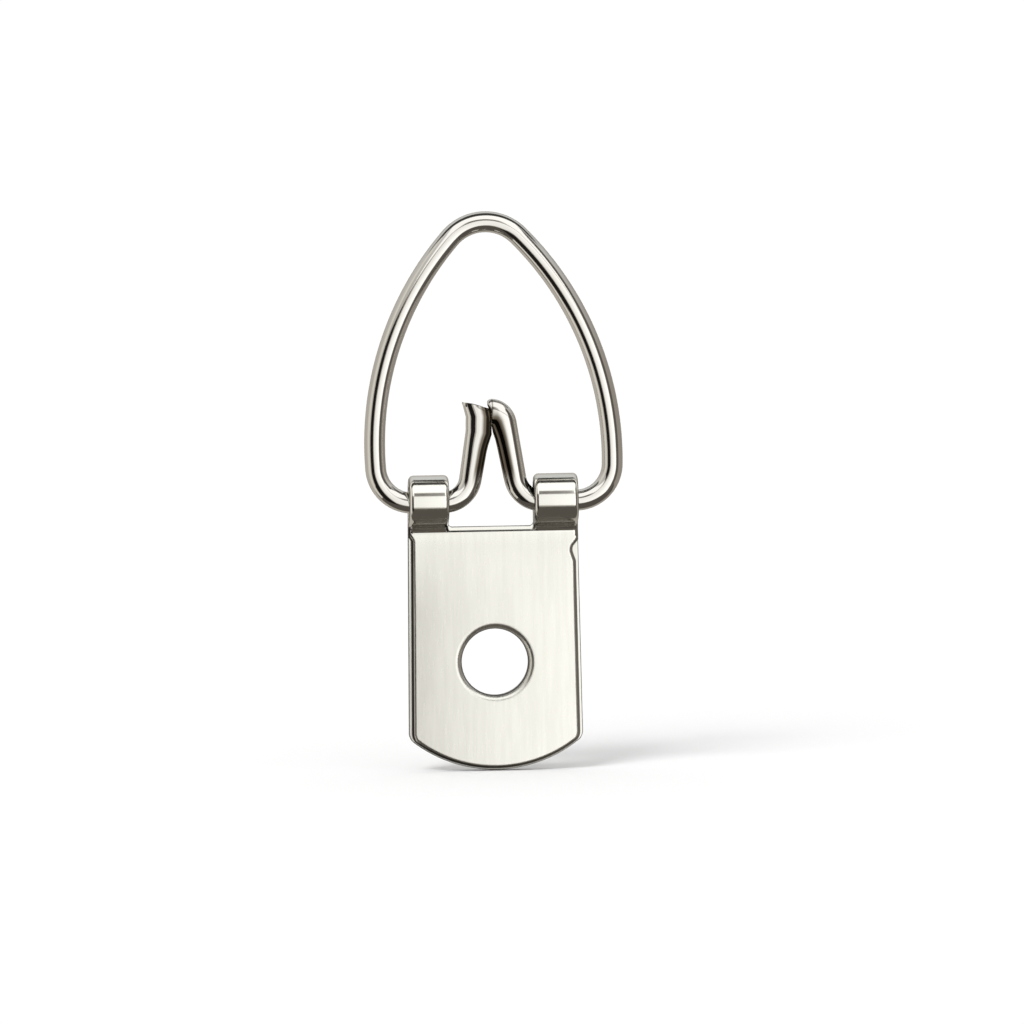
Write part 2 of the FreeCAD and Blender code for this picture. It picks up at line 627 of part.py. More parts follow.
def draw_leg_line(body, name, sign, length):
    """Draw the middle line of one leg: the bend out of the ear and the straight leg.

    The sign is -1 for the left leg and 1 for the right leg.
    """
    angle = SIZES["leg_angle"]
    bend = SIZES["bend_radius"]
    start = (sign * SIZES["bend_start"], 0)
    leg_low = (start[0] - sign * bend * sine(angle), bend - bend * cosine(angle))
    leg_high = (leg_low[0] - sign * SIZES[length] * cosine(angle),
                leg_low[1] + SIZES[length] * sine(angle))
    drawing = Drawing(body, name, "XZ_Plane")
    if sign < 0:
        turn = drawing.arc((start[0], bend), bend, 270, 270 + angle)
        turn_start, turn_end = START, END
    else:
        turn = drawing.arc((start[0], bend), bend, 270 - angle, 270)
        turn_start, turn_end = END, START
    leg = drawing.line(leg_low, leg_high)
    drawing.tie("Tangent", turn, turn_end, leg, START)
    drawing.tie("PointOnObject", turn, turn_start, ACROSS)
    drawing.tie("Vertical", turn, turn_start, turn, CENTRE)
    ends = (turn, CENTRE, *ORIGIN) if sign < 0 else (*ORIGIN, turn, CENTRE)
    drawing.size("Sizes.bend_start", "DistanceX", *ends)
    drawing.size("Sizes.bend_radius", "Radius", turn)
    heading = "Sizes.leg_angle" if sign < 0 else "180 - Sizes.leg_angle"
    drawing.size(f"({heading}) * 1 deg", "Angle", leg)
    drawing.size(f"Sizes.{length}", "Distance", leg, START, leg, END)
    return drawing


def sweep(body, name, sections, path):
    """Sweep the wire along a path in the ring's plane, evenly or from one section to the next."""
    pipe = body.newObject("PartDesign::AdditivePipe", name)
    pipe.Profile = sections[0].sketch
    pipe.Spine = (path.sketch, [])
    pipe.Mode = "Binormal"
    pipe.Binormal = FreeCAD.Vector(0, 1, 0)
    if len(sections) > 1:
        pipe.Transformation = "Multisection"
        pipe.Sections = [(section.sketch, [""]) for section in sections[1:]]
    return pipe


def build_leg(body, side, sign):
    """Build one leg, which leaves the ear round and grows oval. Returns its top section."""
    length = f"{side}_leg_length"
    path = draw_leg_line(body, f"{side}_leg_line", sign, length)
    sign_text = "-" if sign < 0 else ""
    lean = "Sizes.leg_angle * 1 deg"
    root = draw_section(body, f"{side}_root_section", f"{sign_text}Sizes.bend_start", "0",
                        "0" if sign < 0 else "180", "Sizes.wire_radius", "Sizes.wire_radius")
    top_x = (f"{sign_text}(Sizes.bend_start - Sizes.bend_radius * sin({lean})"
             f" - Sizes.{length} * cos({lean}))")
    top_height = f"Sizes.bend_radius * (1 - cos({lean})) + Sizes.{length} * sin({lean})"
    heading = "Sizes.leg_angle" if sign < 0 else "180 - Sizes.leg_angle"
    top = draw_section(body, f"{side}_top_section", top_x, top_height, heading,
                       "Sizes.leg_half_width", "Sizes.leg_half_depth")
    sweep(body, f"{side}_leg", [root, top], path)
    return top, top_x, top_height


def draw_tip_line(body, top_x, top_height):
    """Draw the middle line of the right leg's tip, which turns over to the left."""
    heading = 180 - SIZES["leg_angle"]
    radius = SIZES["tip_radius"]
    drawing = Drawing(body, "right_tip_line", "XZ_Plane")
    start = (drawing.sketch.evalExpression(top_x), drawing.sketch.evalExpression(top_height))
    middle = (start[0] - radius * sine(heading), start[1] + radius * cosine(heading))
    tip = drawing.arc(middle, radius, heading - 90, heading - 90 + SIZES["tip_turn"])
    drawing.size(top_x, "DistanceX", *ORIGIN, tip, START)
    drawing.size(top_height, "DistanceY", *ORIGIN, tip, START)
    drawing.size("Sizes.tip_radius", "Radius", tip)
    drawing.size("Sizes.tip_turn * 1 deg", "Angle", tip)
    spoke = drawing.sketch.addGeometry(
        Part.LineSegment(FreeCAD.Vector(*middle, 0), FreeCAD.Vector(*start, 0)), True)
    drawing.tie("Coincident", spoke, START, tip, CENTRE)
    drawing.tie("Coincident", spoke, END, tip, START)
    drawing.size("(90 - Sizes.leg_angle) * 1 deg", "Angle", spoke)
    return drawing


def draw_meeting(body):
    """Bound what is cut off the right leg where it lies against the left one, and its beak."""
    gap = SIZES["leg_gap"] / 2
    low = SIZES["bend_radius"] + SIZES["wire_radius"]
    kink = SIZES["beak_height"]
    top = SIZES["ring_height"] / 2
    reach = SIZES["ring_half_width"] / 2
    drawing = Drawing(body, "meeting", "XZ_Plane")
    flat = drawing.line((gap, low), (gap, kink))
    beak = drawing.line((gap, kink), (gap - (top - kink) / tangent(SIZES["beak_slope"]), top))
    lid = drawing.line((gap - (top - kink) / tangent(SIZES["beak_slope"]), top), (-reach, top))
    fall = drawing.line((-reach, top), (-reach, low))
    bottom = drawing.line((-reach, low), (gap, low))
    run = (flat, beak, lid, fall, bottom, flat)
    for first, second in zip(run, run[1:]):
        drawing.tie("Coincident", first, END, second, START)
    drawing.tie("Vertical", flat)
    drawing.tie("Horizontal", lid)
    drawing.tie("Vertical", fall)
    drawing.tie("Horizontal", bottom)
    drawing.size("Sizes.leg_gap / 2", "DistanceX", *ORIGIN, flat, START)
    drawing.size("Sizes.bend_radius + Sizes.wire_radius", "DistanceY", *ORIGIN, flat, START)
    drawing.size("Sizes.beak_height", "DistanceY", *ORIGIN, flat, END)
    drawing.size("(180 - Sizes.beak_slope) * 1 deg", "Angle", beak)
    drawing.size("Sizes.ring_height / 2", "DistanceY", *ORIGIN, lid, START)
    drawing.size("Sizes.ring_half_width / 2", "DistanceX", fall, START, *ORIGIN)
    return drawing


def build_right_leg(body):
    """Build the right leg, whose rounded tip turns over and lies against the left leg."""
    top, top_x, top_height = build_leg(body, "right", 1)
    sweep(body, "right_tip", [top], draw_tip_line(body, top_x, top_height))
    trimmed = cut(body, "right_meeting_face", draw_meeting(body), False)
    body.Document.recompute()
    end_edges = [edge for edge in trimmed.Shape.Edges
                 if isinstance(edge.Curve, Part.Ellipse)
                 and edge.BoundBox.ZMin > SIZES["beak_height"]]
    dress_edges(body, "Fillet", "tip_rounding", trimmed, end_edges, "Sizes.tip_rounding")


def build_left_leg(body):
    """Build the left leg, whose sheared end is pinched wider and leans to the left."""
    top, top_x, top_height = build_leg(body, "left", -1)
    neck = draw_section(body, "left_neck_section", f"{top_x} + Sizes.neck_shift",
                        f"{top_height} + Sizes.neck_rise", "90",
                        "Sizes.neck_half_width", "Sizes.leg_half_depth")
    flare = draw_section(body, "left_flare_section", f"{top_x} + Sizes.flare_shift",
                         f"{top_height} + Sizes.flare_rise", "90 - Sizes.flare_slope",
                         "Sizes.flare_half_width", "Sizes.flare_half_depth")
    end = body.newObject("PartDesign::AdditiveLoft", "left_flared_end")
    end.Profile = top.sketch
    end.Sections = [(neck.sketch, [""]), (flare.sketch, [""])]


def build_ring(doc):
    body = new_body(doc, "ring")
    bow = draw_bow(body)
    foot = draw_section(body, "foot_section", "Sizes.bend_start", "0", "0",
                        "Sizes.wire_radius", "Sizes.wire_radius")
    sweep(body, "bow", [foot], bow)
    build_right_leg(body)
    build_left_leg(body)
    doc.recompute()
    lean = ("asin((Sizes.loop_radius - Sizes.wire_radius - Sizes.board_clearance)"
            " / Sizes.ring_height)")
    body.Placement = FreeCAD.Placement(FreeCAD.Vector(0, 0, 0),
                                       FreeCAD.Rotation(FreeCAD.Vector(-1, 0, 0), 1))
    body.setExpression("Placement.Base.y", "-Sizes.loop_radius")
    body.setExpression("Placement.Base.z", "Sizes.loop_height - Sizes.foot_play")
    body.setExpression("Placement.Rotation.Angle", lean)
    doc.recompute()
    return body


def check(doc, bodies):
    """Stop before anything is written if an object failed or a shape isn't one sound solid."""
    for item in doc.Objects:
        faults = [word for word in item.State if word in ("Invalid", "Error")]
        if faults:
            raise RuntimeError(f"{item.Label} is {faults}")
        if item.TypeId == "Sketcher::SketchObject" and item.solve() != 0:
            raise RuntimeError(f"sketch {item.Label} does not solve")
    for body in bodies:
        shape = body.Shape
        if shape.isNull() or not shape.isValid() or len(shape.Solids) != 1:
            raise RuntimeError(f"{body.Label} is not one valid solid")
        box = shape.BoundBox
        print(f"{body.Label}: volume {shape.Volume:.2f}, faces {len(shape.Faces)},"
              f" box {box.XMin:.2f} {box.YMin:.2f} {box.ZMin:.2f}"
              f" to {box.XMax:.2f} {box.YMax:.2f} {box.ZMax:.2f}")


def main():
    doc = FreeCAD.newDocument("strap_hanger")
    make_sheet(doc)
    bodies = [build_strap(doc), build_ring(doc)]
    doc.recompute()
    check(doc, bodies)
    os.makedirs("parts", exist_ok=True)
    for body in bodies:
        body.Shape.exportStep(f"parts/{body.Label}.step")


main()
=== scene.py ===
"""A picture strap hanger: a folded nickel-plated strap and the wire ring that swings in it."""

import json
import logging
import math
from dataclasses import dataclass
from enum import Enum
from functools import reduce
from typing import Callable

import bmesh
import bpy
from bpy.types import Material, Modifier, Node, NodeSocket, Object, World
from mathutils import Matrix, Vector

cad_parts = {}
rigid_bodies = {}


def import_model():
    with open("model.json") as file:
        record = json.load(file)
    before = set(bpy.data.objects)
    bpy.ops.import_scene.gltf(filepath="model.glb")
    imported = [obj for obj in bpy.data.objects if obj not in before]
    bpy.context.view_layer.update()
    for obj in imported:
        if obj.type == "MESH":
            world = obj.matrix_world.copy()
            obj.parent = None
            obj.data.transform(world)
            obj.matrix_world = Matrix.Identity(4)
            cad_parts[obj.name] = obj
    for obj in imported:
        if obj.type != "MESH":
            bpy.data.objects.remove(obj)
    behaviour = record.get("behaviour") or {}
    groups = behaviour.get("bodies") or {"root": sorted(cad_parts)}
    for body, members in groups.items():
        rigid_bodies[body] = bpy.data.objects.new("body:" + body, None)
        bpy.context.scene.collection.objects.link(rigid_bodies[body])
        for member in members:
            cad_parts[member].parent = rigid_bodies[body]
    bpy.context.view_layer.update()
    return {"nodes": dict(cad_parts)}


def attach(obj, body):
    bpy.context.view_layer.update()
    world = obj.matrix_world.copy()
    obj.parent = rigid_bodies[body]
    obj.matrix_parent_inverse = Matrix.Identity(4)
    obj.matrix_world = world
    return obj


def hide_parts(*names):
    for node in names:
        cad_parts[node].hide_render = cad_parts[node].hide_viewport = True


MM = 0.001
NEAR = 1e-4  # Points of a piece nearer than this are one point, in millimetres.
SNAP = 1e-3  # A point is found within this distance of its place, in millimetres.
ROTATE_SENSE = -1.0  # With no window, transform.rotate turns the other way.
TO_FRONT = (0.0, -1.0, 0.0)
LOG = logging.getLogger("strap_hanger")
Pair = tuple[float, float]
Point = tuple[float, float, float]
Colour = tuple[float, float, float]


class Slot(Enum):
    """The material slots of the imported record."""

    SHEET = "plated_sheet"
    WIRE = "plated_wire"


class Part(Enum):
    """The parts of a mesh that can be selected."""

    POINTS = "VERT"
    EDGES = "EDGE"


class Cut(Enum):
    """The ways in which one solid cuts another."""

    AWAY = "DIFFERENCE"
    TO_SHAPE = "INTERSECT"


def sine(angle: float) -> float:
    """The sine of an angle in degrees."""
    return math.sin(math.radians(angle))


def cosine(angle: float) -> float:
    """The cosine of an angle in degrees."""
    return math.cos(math.radians(angle))


def tangent(angle: float) -> float:
    """The tangent of an angle in degrees."""
    return math.tan(math.radians(angle))


def bearing(origin: Pair, place: Pair) -> float:
    """The direction between two points of the ring's plane, in degrees from -90 up to 270."""
    angle = math.degrees(math.atan2(place[1] - origin[1], place[0] - origin[0]))
    return (angle + 90.0) % 360.0 - 90.0


def direction(azimuth: float, elevation: float) -> Vector:
    """The way from the hanger to a place in the studio, right of the front and up in degrees."""
    level = cosine(elevation)
    return Vector((sine(azimuth) * level, -cosine(azimuth) * level, sine(elevation)))


def sideways(azimuth: float) -> Vector:
    """The level way to the right, for one who stands at that azimuth."""
    return Vector((cosine(azimuth), sine(azimuth), 0.0))


def stance(right: Vector, up: Vector, back: Vector, place: Vector) -> Matrix:
    """The matrix of a thing that stands at a place with its axes turned this way."""
    return Matrix.Translation(place) @ Matrix((right, up, back)).transposed().to_4x4()


class NodeBoard:
    """A node tree under construction, with short ways to add and join nodes."""

    def __init__(self, owner: Material | World) -> None:
        """Starts with an empty tree.

        Args:
            owner: The material or world whose nodes are built.
        """
        owner.use_nodes = True
        self.tree = owner.node_tree
        self.tree.nodes.clear()

    def add(self, kind: str, **settings: object) -> Node:
        """Adds a node and gives it its settings.

        Args:
            kind: The node's type name.
            **settings: Attributes of the node.

        Returns:
            The new node.
        """
        node = self.tree.nodes.new(kind)
        for name, value in settings.items():
            setattr(node, name, value)
        return node

    def join(self, source: NodeSocket, target: NodeSocket) -> None:
        """Joins an output socket to an input socket."""
        self.tree.links.new(source, target)

    def fill(self, target: NodeSocket, value: NodeSocket | Colour | float) -> None:
        """Feeds an input socket.

        Args:
            target: The input socket.
            value: What it takes: an output socket, a colour or a number.
        """
        if isinstance(value, NodeSocket):
            self.join(value, target)
        elif isinstance(value, tuple):
            target.default_value = (*value, 1.0)
        else:
            target.default_value = value

    def close(self, shader: Node, kind: str = "ShaderNodeOutputMaterial") -> None:
        """Joins the finished shader to the tree's output."""
        self.join(shader.outputs[0], self.add(kind).inputs["Surface"])

    def read(self, name: str) -> NodeSocket:
        """Reads one of the piece's own coordinates."""
        return self.add("ShaderNodeTexCoord").outputs[name]

    def split(self, vector: NodeSocket) -> list[NodeSocket]:
        """Splits a vector.

        Args:
            vector: The vector's socket.

        Returns:
            The sockets of its three parts.
        """
        node = self.add("ShaderNodeSeparateXYZ")
        self.join(vector, node.inputs[0])
        return list(node.outputs)

    def maths(self, operation: str, first: NodeSocket | float,
              second: NodeSocket | float = 0.0) -> NodeSocket:
        """Adds a maths node.

        Args:
            operation: The node's operation.
            first: A socket or a number.
            second: A socket or a number.

        Returns:
            The result's socket.
        """
        node = self.add("ShaderNodeMath", operation=operation)
        for socket, value in zip(node.inputs, (first, second)):
            self.fill(socket, value)
        return node.outputs[0]

    def product(self, *factors: NodeSocket | float) -> NodeSocket:
        """Multiplies sockets and numbers."""
        return reduce(lambda first, second: self.maths("MULTIPLY", first, second), factors)

    def noise(self, place: NodeSocket, scale: Point, detail: float) -> NodeSocket:
        """Adds noise that is stretched along the axes.

        Args:
            place: The coordinate socket that the noise follows.
            scale: Cells per metre along each axis.
            detail: How many finer layers the noise has.

        Returns:
            The noise value's socket.
        """
        mapping = self.add("ShaderNodeMapping")
        mapping.inputs["Scale"].default_value = scale
        self.join(place, mapping.inputs["Vector"])
        noise = self.add("ShaderNodeTexNoise")
        noise.inputs["Scale"].default_value = 1.0
        noise.inputs["Detail"].default_value = detail
        self.join(mapping.outputs[0], noise.inputs["Vector"])
        return noise.outputs[0]

    def spread(self, value: NodeSocket, low: float, high: float, first: float = 0.0,
               last: float = 1.0) -> NodeSocket:
        """Spreads a range of values smoothly over another.

        Args:
            value: The socket whose values are spread.
            low: The value that gives the first result.
            high: The value that gives the last result.
            first: The first result.
            last: The last result.

        Returns:
            The spread value's socket.
        """
        ramp = self.add("ShaderNodeMapRange", interpolation_type="SMOOTHSTEP")
        ends = (("From Min", low), ("From Max", high), ("To Min", first), ("To Max", last))
        for name, number in (("Value", value), *ends):
            self.fill(ramp.inputs[name], number)
        return ramp.outputs[0]

    def mix(self, share: NodeSocket, first: NodeSocket | Colour,
            second: NodeSocket | Colour) -> NodeSocket:
        """Mixes two colours.

        Args:
            share: The socket that gives the second colour's share.
            first: The first colour or its socket.
            second: The second colour or its socket.

        Returns:
            The mixed colour's socket.
        """
        node = self.add("ShaderNodeMix", data_type="RGBA")
        self.join(share, node.inputs[0])
        colours = [socket for socket in node.inputs if socket.type == "RGBA"]
        for socket, value in zip(colours, (first, second)):
            self.fill(socket, value)
        return next(socket for socket in node.outputs if socket.type == "RGBA")

    def bump(self, height: NodeSocket, distance: float, under: NodeSocket | None = None,
             strength: NodeSocket | None = None) -> NodeSocket:
        """Raises a pattern on the surface.

        Args:
            height: The pattern's socket.
            distance: How far a value of 1 stands up, in metres.
            under: The normal that the pattern lies on, if not the plain surface's.
            strength: The socket that fades the pattern out, if it fades.

        Returns:
            The normal's socket.
        """
        node = self.add("ShaderNodeBump")
        node.inputs["Distance"].default_value = distance
        for name, socket in (("Height", height), ("Normal", under), ("Strength", strength)):
            if socket is not None:
                self.join(socket, node.inputs[name])
        return node.outputs[0]

    def glow(self, colour: NodeSocket) -> Node:
        """Adds a glow.

        Args:
            colour: The socket that gives its colour and level.

        Returns:
            The glow's node.
        """
        node = self.add("ShaderNodeEmission")
        self.join(colour, node.inputs["Color"])
        return node


def new_material(name: str) -> tuple[Material, NodeBoard]:
    """Starts a material and the board for its nodes."""
    material = bpy.data.materials.new(name)
    return material, NodeBoard(material)


@dataclass(frozen=True)
class NickelPlate:
    """Bright nickel plating over metal with a fine drawn or brushed grain."""

    name: str
    bright: Colour
    dull: Colour
    smoothest: float
    roughest: float
    grain: Point
    grain_height: float
    wave: Point
    wave_height: float
    grain_detail: float = 3.0
    grain_span: Pair = (0.3, 0.7)
    wave_detail: float = 1.0
    cloud: Point = (260.0, 260.0, 260.0)
    cloud_detail: float = 2.0

    def clouds(self, board: NodeBoard, place: NodeSocket) -> NodeSocket:
        """Lays soft clouds over the piece."""
        return board.noise(place, self.cloud, self.cloud_detail)

    def colour(self, board: NodeBoard, place: NodeSocket) -> NodeSocket:
        """Blends the bright and the dull plating in soft clouds."""
        return board.mix(self.clouds(board, place), self.bright, self.dull)

    def roughness(self, board: NodeBoard, place: NodeSocket) -> NodeSocket:
        """Varies the roughness with the grain."""
        grain = board.noise(place, self.grain, self.grain_detail)
        return board.spread(grain, *self.grain_span, self.smoothest, self.roughest)

    def relief(self, board: NodeBoard, place: NodeSocket,
               under: NodeSocket | None = None) -> NodeSocket:
        """Raises the fine grain on soft waves.

        Args:
            board: The material's nodes.
            place: The place on the piece.
            under: The normal that the waves lie on, if not the plain surface's.

        Returns:
            The normal's socket.
        """
        for pattern, detail, height in ((self.wave, self.wave_detail, self.wave_height),
                                        (self.grain, self.grain_detail, self.grain_height)):
            under = board.bump(board.noise(place, pattern, detail), height, under)
        return under

    def make(self) -> Material:
        """Builds the plating's nodes.

        Returns:
            The material.
        """
        material, board = new_material(self.name)
        place = board.read("Object")
        metal = board.add("ShaderNodeBsdfPrincipled")
        metal.inputs["Metallic"].default_value = 1.0
        board.join(self.colour(board, place), metal.inputs["Base Color"])
        board.join(self.roughness(board, place), metal.inputs["Roughness"])
        board.join(self.relief(board, place), metal.inputs["Normal"])
        board.close(metal)
        return material


@dataclass(frozen=True)
class BrushedPlate(NickelPlate):
    """Nickel plating on the strap: brushed flats, bright bends, and painted shade on its edges, the
    screw hole's wall and the ears' sides.
    """

    streak: Point = (3000.0, 700.0, 220.0)
    streak_detail: float = 4.0
    streak_span: Pair = (0.35, 0.65)
    streak_share: float = 0.3
    polished: Colour = (0.92, 0.915, 0.87)
    polish_fade: float = 0.0006
    # Near-black painted shade and painted dark reflection, laid on the rims, the screw hole's wall
    # and the ears' sides.
    painted_edge_shade: Colour = (0.035, 0.032, 0.028)
    outline_facing: Pair = (0.4, 0.6)
    hole_facing: Pair = (0.62, 0.4)
    ear_facing: Pair = (0.78, 0.92)
    # The share of the painted shade that the right side's rims get; the left side's rims are
    # painted darker.
    right_side_shade_share: float = 0.6
    side_fade: float = 0.004
    flat_top: float = 0.0078
    flat_top_fade: float = 0.0001
    flat_front: float = -0.00095
    flat_front_fade: float = 0.00003
    hole_reach: float = 0.0026
    hole_fade: float = 0.0002
    satin: float = 0.1
    gloss: float = -0.07
    gloss_fade: float = 0.0012
    crown_radius: float = 0.045
    crown_fade: Pair = (0.0024, 0.0079)

    def colour(self, board: NodeBoard, place: NodeSocket) -> NodeSocket:
        """Blends bright and dull plating in clouds and streaks, and paints near-black shade over
        the edges.

        Args:
            board: The material's nodes.
            place: The place on the piece.

        Returns:
            The colour's socket.
        """
        streaks = board.spread(board.noise(place, self.streak, self.streak_detail),
                               *self.streak_span, -self.streak_share, self.streak_share)
        share = board.maths("ADD", self.clouds(board, place), streaks)
        plating = board.mix(share, self.bright, self.dull)
        bends = board.spread(board.split(place)[2], self.flat_top - self.polish_fade, self.flat_top)
        plating = board.mix(bends, plating, self.polished)
        # Paints the near-black shade over the edges, the hole's wall and the ears' sides.
        return board.mix(self.edges(board, place), plating, self.painted_edge_shade)

    def edges(self, board: NodeBoard, place: NodeSocket) -> NodeSocket:
        """Finds where shade is painted, on the rolled edges, the hole's wall and the ears' sides,
        by the way that they face.

        Args:
            board: The material's nodes.
            place: The place on the piece.

        Returns:
            A socket that is 1 where the painted shade is full and 0 elsewhere; the right side's
            rims get less of it.
        """
        x, y, z = board.split(place)
        facing = board.split(board.read("Normal"))
        aside, ahead, upright = [board.maths("ABSOLUTE", part) for part in facing]
        flats = board.spread(z, self.flat_top, self.flat_top + self.flat_top_fade, 1.0, 0.0)
        behind = board.spread(y, self.flat_front, self.flat_front + self.flat_front_fade)
        reach = board.maths("SQRT", board.maths("ADD", board.product(x, x), board.product(z, z)))
        off_hole = board.spread(reach, self.hole_reach, self.hole_reach + self.hole_fade)
        turned = board.maths("MAXIMUM", aside, board.product(upright, behind))
        # Painted shade is fuller on the left side's rims than on the right side's.
        side = board.spread(x, -self.side_fade, self.side_fade, 1.0, self.right_side_shade_share)
        outline = board.product(board.spread(turned, *self.outline_facing), off_hole, flats, side)
        hole = board.product(board.spread(ahead, *self.hole_facing),
                             board.maths("SUBTRACT", 1.0, off_hole))
        ears = board.product(board.spread(aside, *self.ear_facing),
                             board.maths("SUBTRACT", 1.0, flats))
        return board.maths("MAXIMUM", outline, board.maths("MAXIMUM", hole, ears))

    def roughness(self, board: NodeBoard, place: NodeSocket) -> NodeSocket:
        """Makes the flats satin and leaves the bends bright.

        Args:
            board: The material's nodes.
            place: The place on the piece.

        Returns:
            The roughness socket.
        """
        height = board.split(place)[2]
        satin = board.spread(height, self.flat_top - self.gloss_fade, self.flat_top,
                             self.satin, self.gloss)
        return board.maths("ADD", super().roughness(board, place), satin)

    def relief(self, board: NodeBoard, place: NodeSocket,
               under: NodeSocket | None = None) -> NodeSocket:
        """Crowns the flats very slightly from side to side under their grain.

        Args:
            board: The material's nodes.
            place: The place on the piece.
            under: The normal that the crown lies on, if not the plain surface's.

        Returns:
            The normal's socket.
        """
        x, _, z = board.split(place)
        fade = board.spread(z, *self.crown_fade, 1.0, 0.0)
        crown = board.bump(board.product(x, x, -0.5 / self.crown_radius), 1.0, under, fade)
        return super().relief(board, place, crown)


@dataclass(frozen=True)
class WireWithPaintedShade(NickelPlate):
    """Nickel plating on the wire, with painted shade where its two legs face each other."""

    # Painted shade between the legs, where they shade and mirror each other.
    painted_shade: Colour = (0.15, 0.128, 0.1)
    facing: Pair = (-0.02, 0.18)
    right_bias: float = 0.07
    reach: Pair = (0.0013, 0.0018)
    low: Pair = (0.0098, 0.0112)
    high: Pair = (0.0152, 0.0156)

    def colour(self, board: NodeBoard, place: NodeSocket) -> NodeSocket:
        """Paints a dark shade over the sides of the legs that face each other.

        Args:
            board: The material's nodes.
            place: The place on the piece.

        Returns:
            The colour's socket.
        """
        x, _, z = board.split(place)
        side = board.maths("SIGN", x)
        outwards = board.product(side, board.split(board.read("Normal"))[0])
        inwards = board.maths("SUBTRACT", board.product(side, self.right_bias), outwards)
        shade = board.product(board.spread(inwards, *self.facing),
                              board.spread(board.maths("ABSOLUTE", x), *self.reach, 1.0, 0.0),
                              board.spread(z, *self.low),
                              board.spread(z, *self.high, 1.0, 0.0))
        # Paints the dark shade over the plating.
        return board.mix(shade, super().colour(board, place), self.painted_shade)


# The strap's plating, with painted shade on its edges.
SHEET_FINISH = BrushedPlate(
    name="brushed_nickel_sheet",
    bright=(0.93, 0.928, 0.88),
    dull=(0.86, 0.857, 0.805),
    smoothest=0.172,
    roughest=0.21,
    grain=(16000.0, 900.0, 900.0),
    grain_height=0.0000007,
    wave=(240.0, 240.0, 240.0),
    wave_height=0.00002,
)

# The wire's plating, with painted shade between its legs.
WIRE_FINISH = WireWithPaintedShade(
    name="bright_nickel_wire",
    bright=(0.86, 0.855, 0.825),
    dull=(0.8, 0.785, 0.75),
    smoothest=0.05,
    roughest=0.1,
    grain=(9000.0, 9000.0, 900.0),
    grain_height=0.0000005,
    wave=(500.0, 500.0, 500.0),
    wave_height=0.000006,
)


def dress(piece: Object, finish: NickelPlate) -> None:
    """Gives a piece its finish in place of whatever it had."""
    piece.data.materials.clear()
    piece.data.materials.append(finish.make())


def reflected_only(thing: Object) -> None:
    """Lets a piece of the studio show in reflections alone.

    Args:
        thing: The card or tent.
    """
    thing.visible_camera = False
    thing.visible_diffuse = False
    thing.visible_shadow = False
    thing.visible_transmission = False


@dataclass(frozen=True)
class StudioCard:
    """A flat card that faces the hanger and shows in its metal.

    Its reach is given in degrees as seen from the middle of the hanger: west and east round
    the front, low and high above the level.
    """

    name: str
    west: float
    east: float
    low: float
    high: float
    left_colour: Colour
    right_colour: Colour
    soft_edge: float = 0.12
    distance: float = 0.2
    centre: Point = (0.0, 0.0, 0.009)

    def half_sizes(self) -> Pair:
        """Half the card's width and half its height, in metres."""
        return (self.distance * tangent((self.east - self.west) / 2.0),
                self.distance * tangent((self.high - self.low) / 2.0))

    def material(self) -> Material:
        """Builds a card's glow, which runs from left to right and fades at the rim.

        Returns:
            The material.
        """
        material, board = new_material(self.name)
        place = board.split(board.read("Object"))
        shares = []
        for part, half in zip(place, self.half_sizes()):
            reach = board.maths("DIVIDE", board.maths("ABSOLUTE", part), half)
            shares.append(board.spread(reach, 1.0, 1.0 - self.soft_edge))
        wide = self.half_sizes()[0]
        across = board.spread(place[0], -wide, wide)
        glow = board.glow(board.mix(across, self.left_colour, self.right_colour))
        clear = board.add("ShaderNodeBsdfTransparent")
        mix = board.add("ShaderNodeMixShader")
        layers = (board.product(*shares), clear.outputs[0], glow.outputs[0])
        for socket, source in zip(mix.inputs, layers):
            board.join(source, socket)
        board.close(mix)
        return material

    def build(self) -> Object:
        """Stands the card up so that it faces the hanger.

        Returns:
            The card.
        """
        azimuth = (self.west + self.east) / 2.0
        ahead, level = direction(azimuth, (self.low + self.high) / 2.0), sideways(azimuth)
        bpy.ops.mesh.primitive_plane_add(size=2.0)
        card = bpy.context.active_object
        card.name = self.name
        card.data.transform(Matrix.Diagonal((*self.half_sizes(), 1.0, 1.0)))
        place = Vector(self.centre) + ahead * self.distance
        card.matrix_world = stance(level, ahead.cross(level), ahead, place)
        card.data.materials.append(self.material())
        reflected_only(card)
        return card


# Each card: name, west, east, low, high, left and right colour, and where needed its soft
# edge and its distance.
CARDS = (
    StudioCard("front_panel", -15.0, 42.0, -33.0, 23.0, (0.94, 0.93, 0.895), (1.36, 1.35, 1.32)),
    StudioCard("ear_shade", -12.0, 16.0, 19.0, 39.0, (0.14, 0.133, 0.12), (0.3, 0.29, 0.27),
               0.5, 0.19),
    StudioCard("upper_panel", -32.0, 44.0, 23.0, 79.0, (1.15, 1.14, 1.11), (1.2, 1.19, 1.16)),
    StudioCard("top_bar", -45.0, 55.0, 77.0, 112.0, (0.05, 0.047, 0.042), (0.05, 0.047, 0.042),
               0.08, 0.19),
    StudioCard("left_flag", -54.0, -19.0, -50.0, 22.0, (0.012, 0.011, 0.01), (0.012, 0.011, 0.01)),
    StudioCard("left_strip", -94.0, -62.0, -50.0, 50.0, (0.62, 0.59, 0.54), (0.8, 0.76, 0.69)),
    StudioCard("right_flag", 46.0, 72.0, -50.0, 60.0, (0.09, 0.08, 0.072), (0.13, 0.12, 0.105)),
    StudioCard("low_card", -60.0, 70.0, -112.0, -35.0, (0.09, 0.08, 0.068), (0.09, 0.08, 0.068)),
)


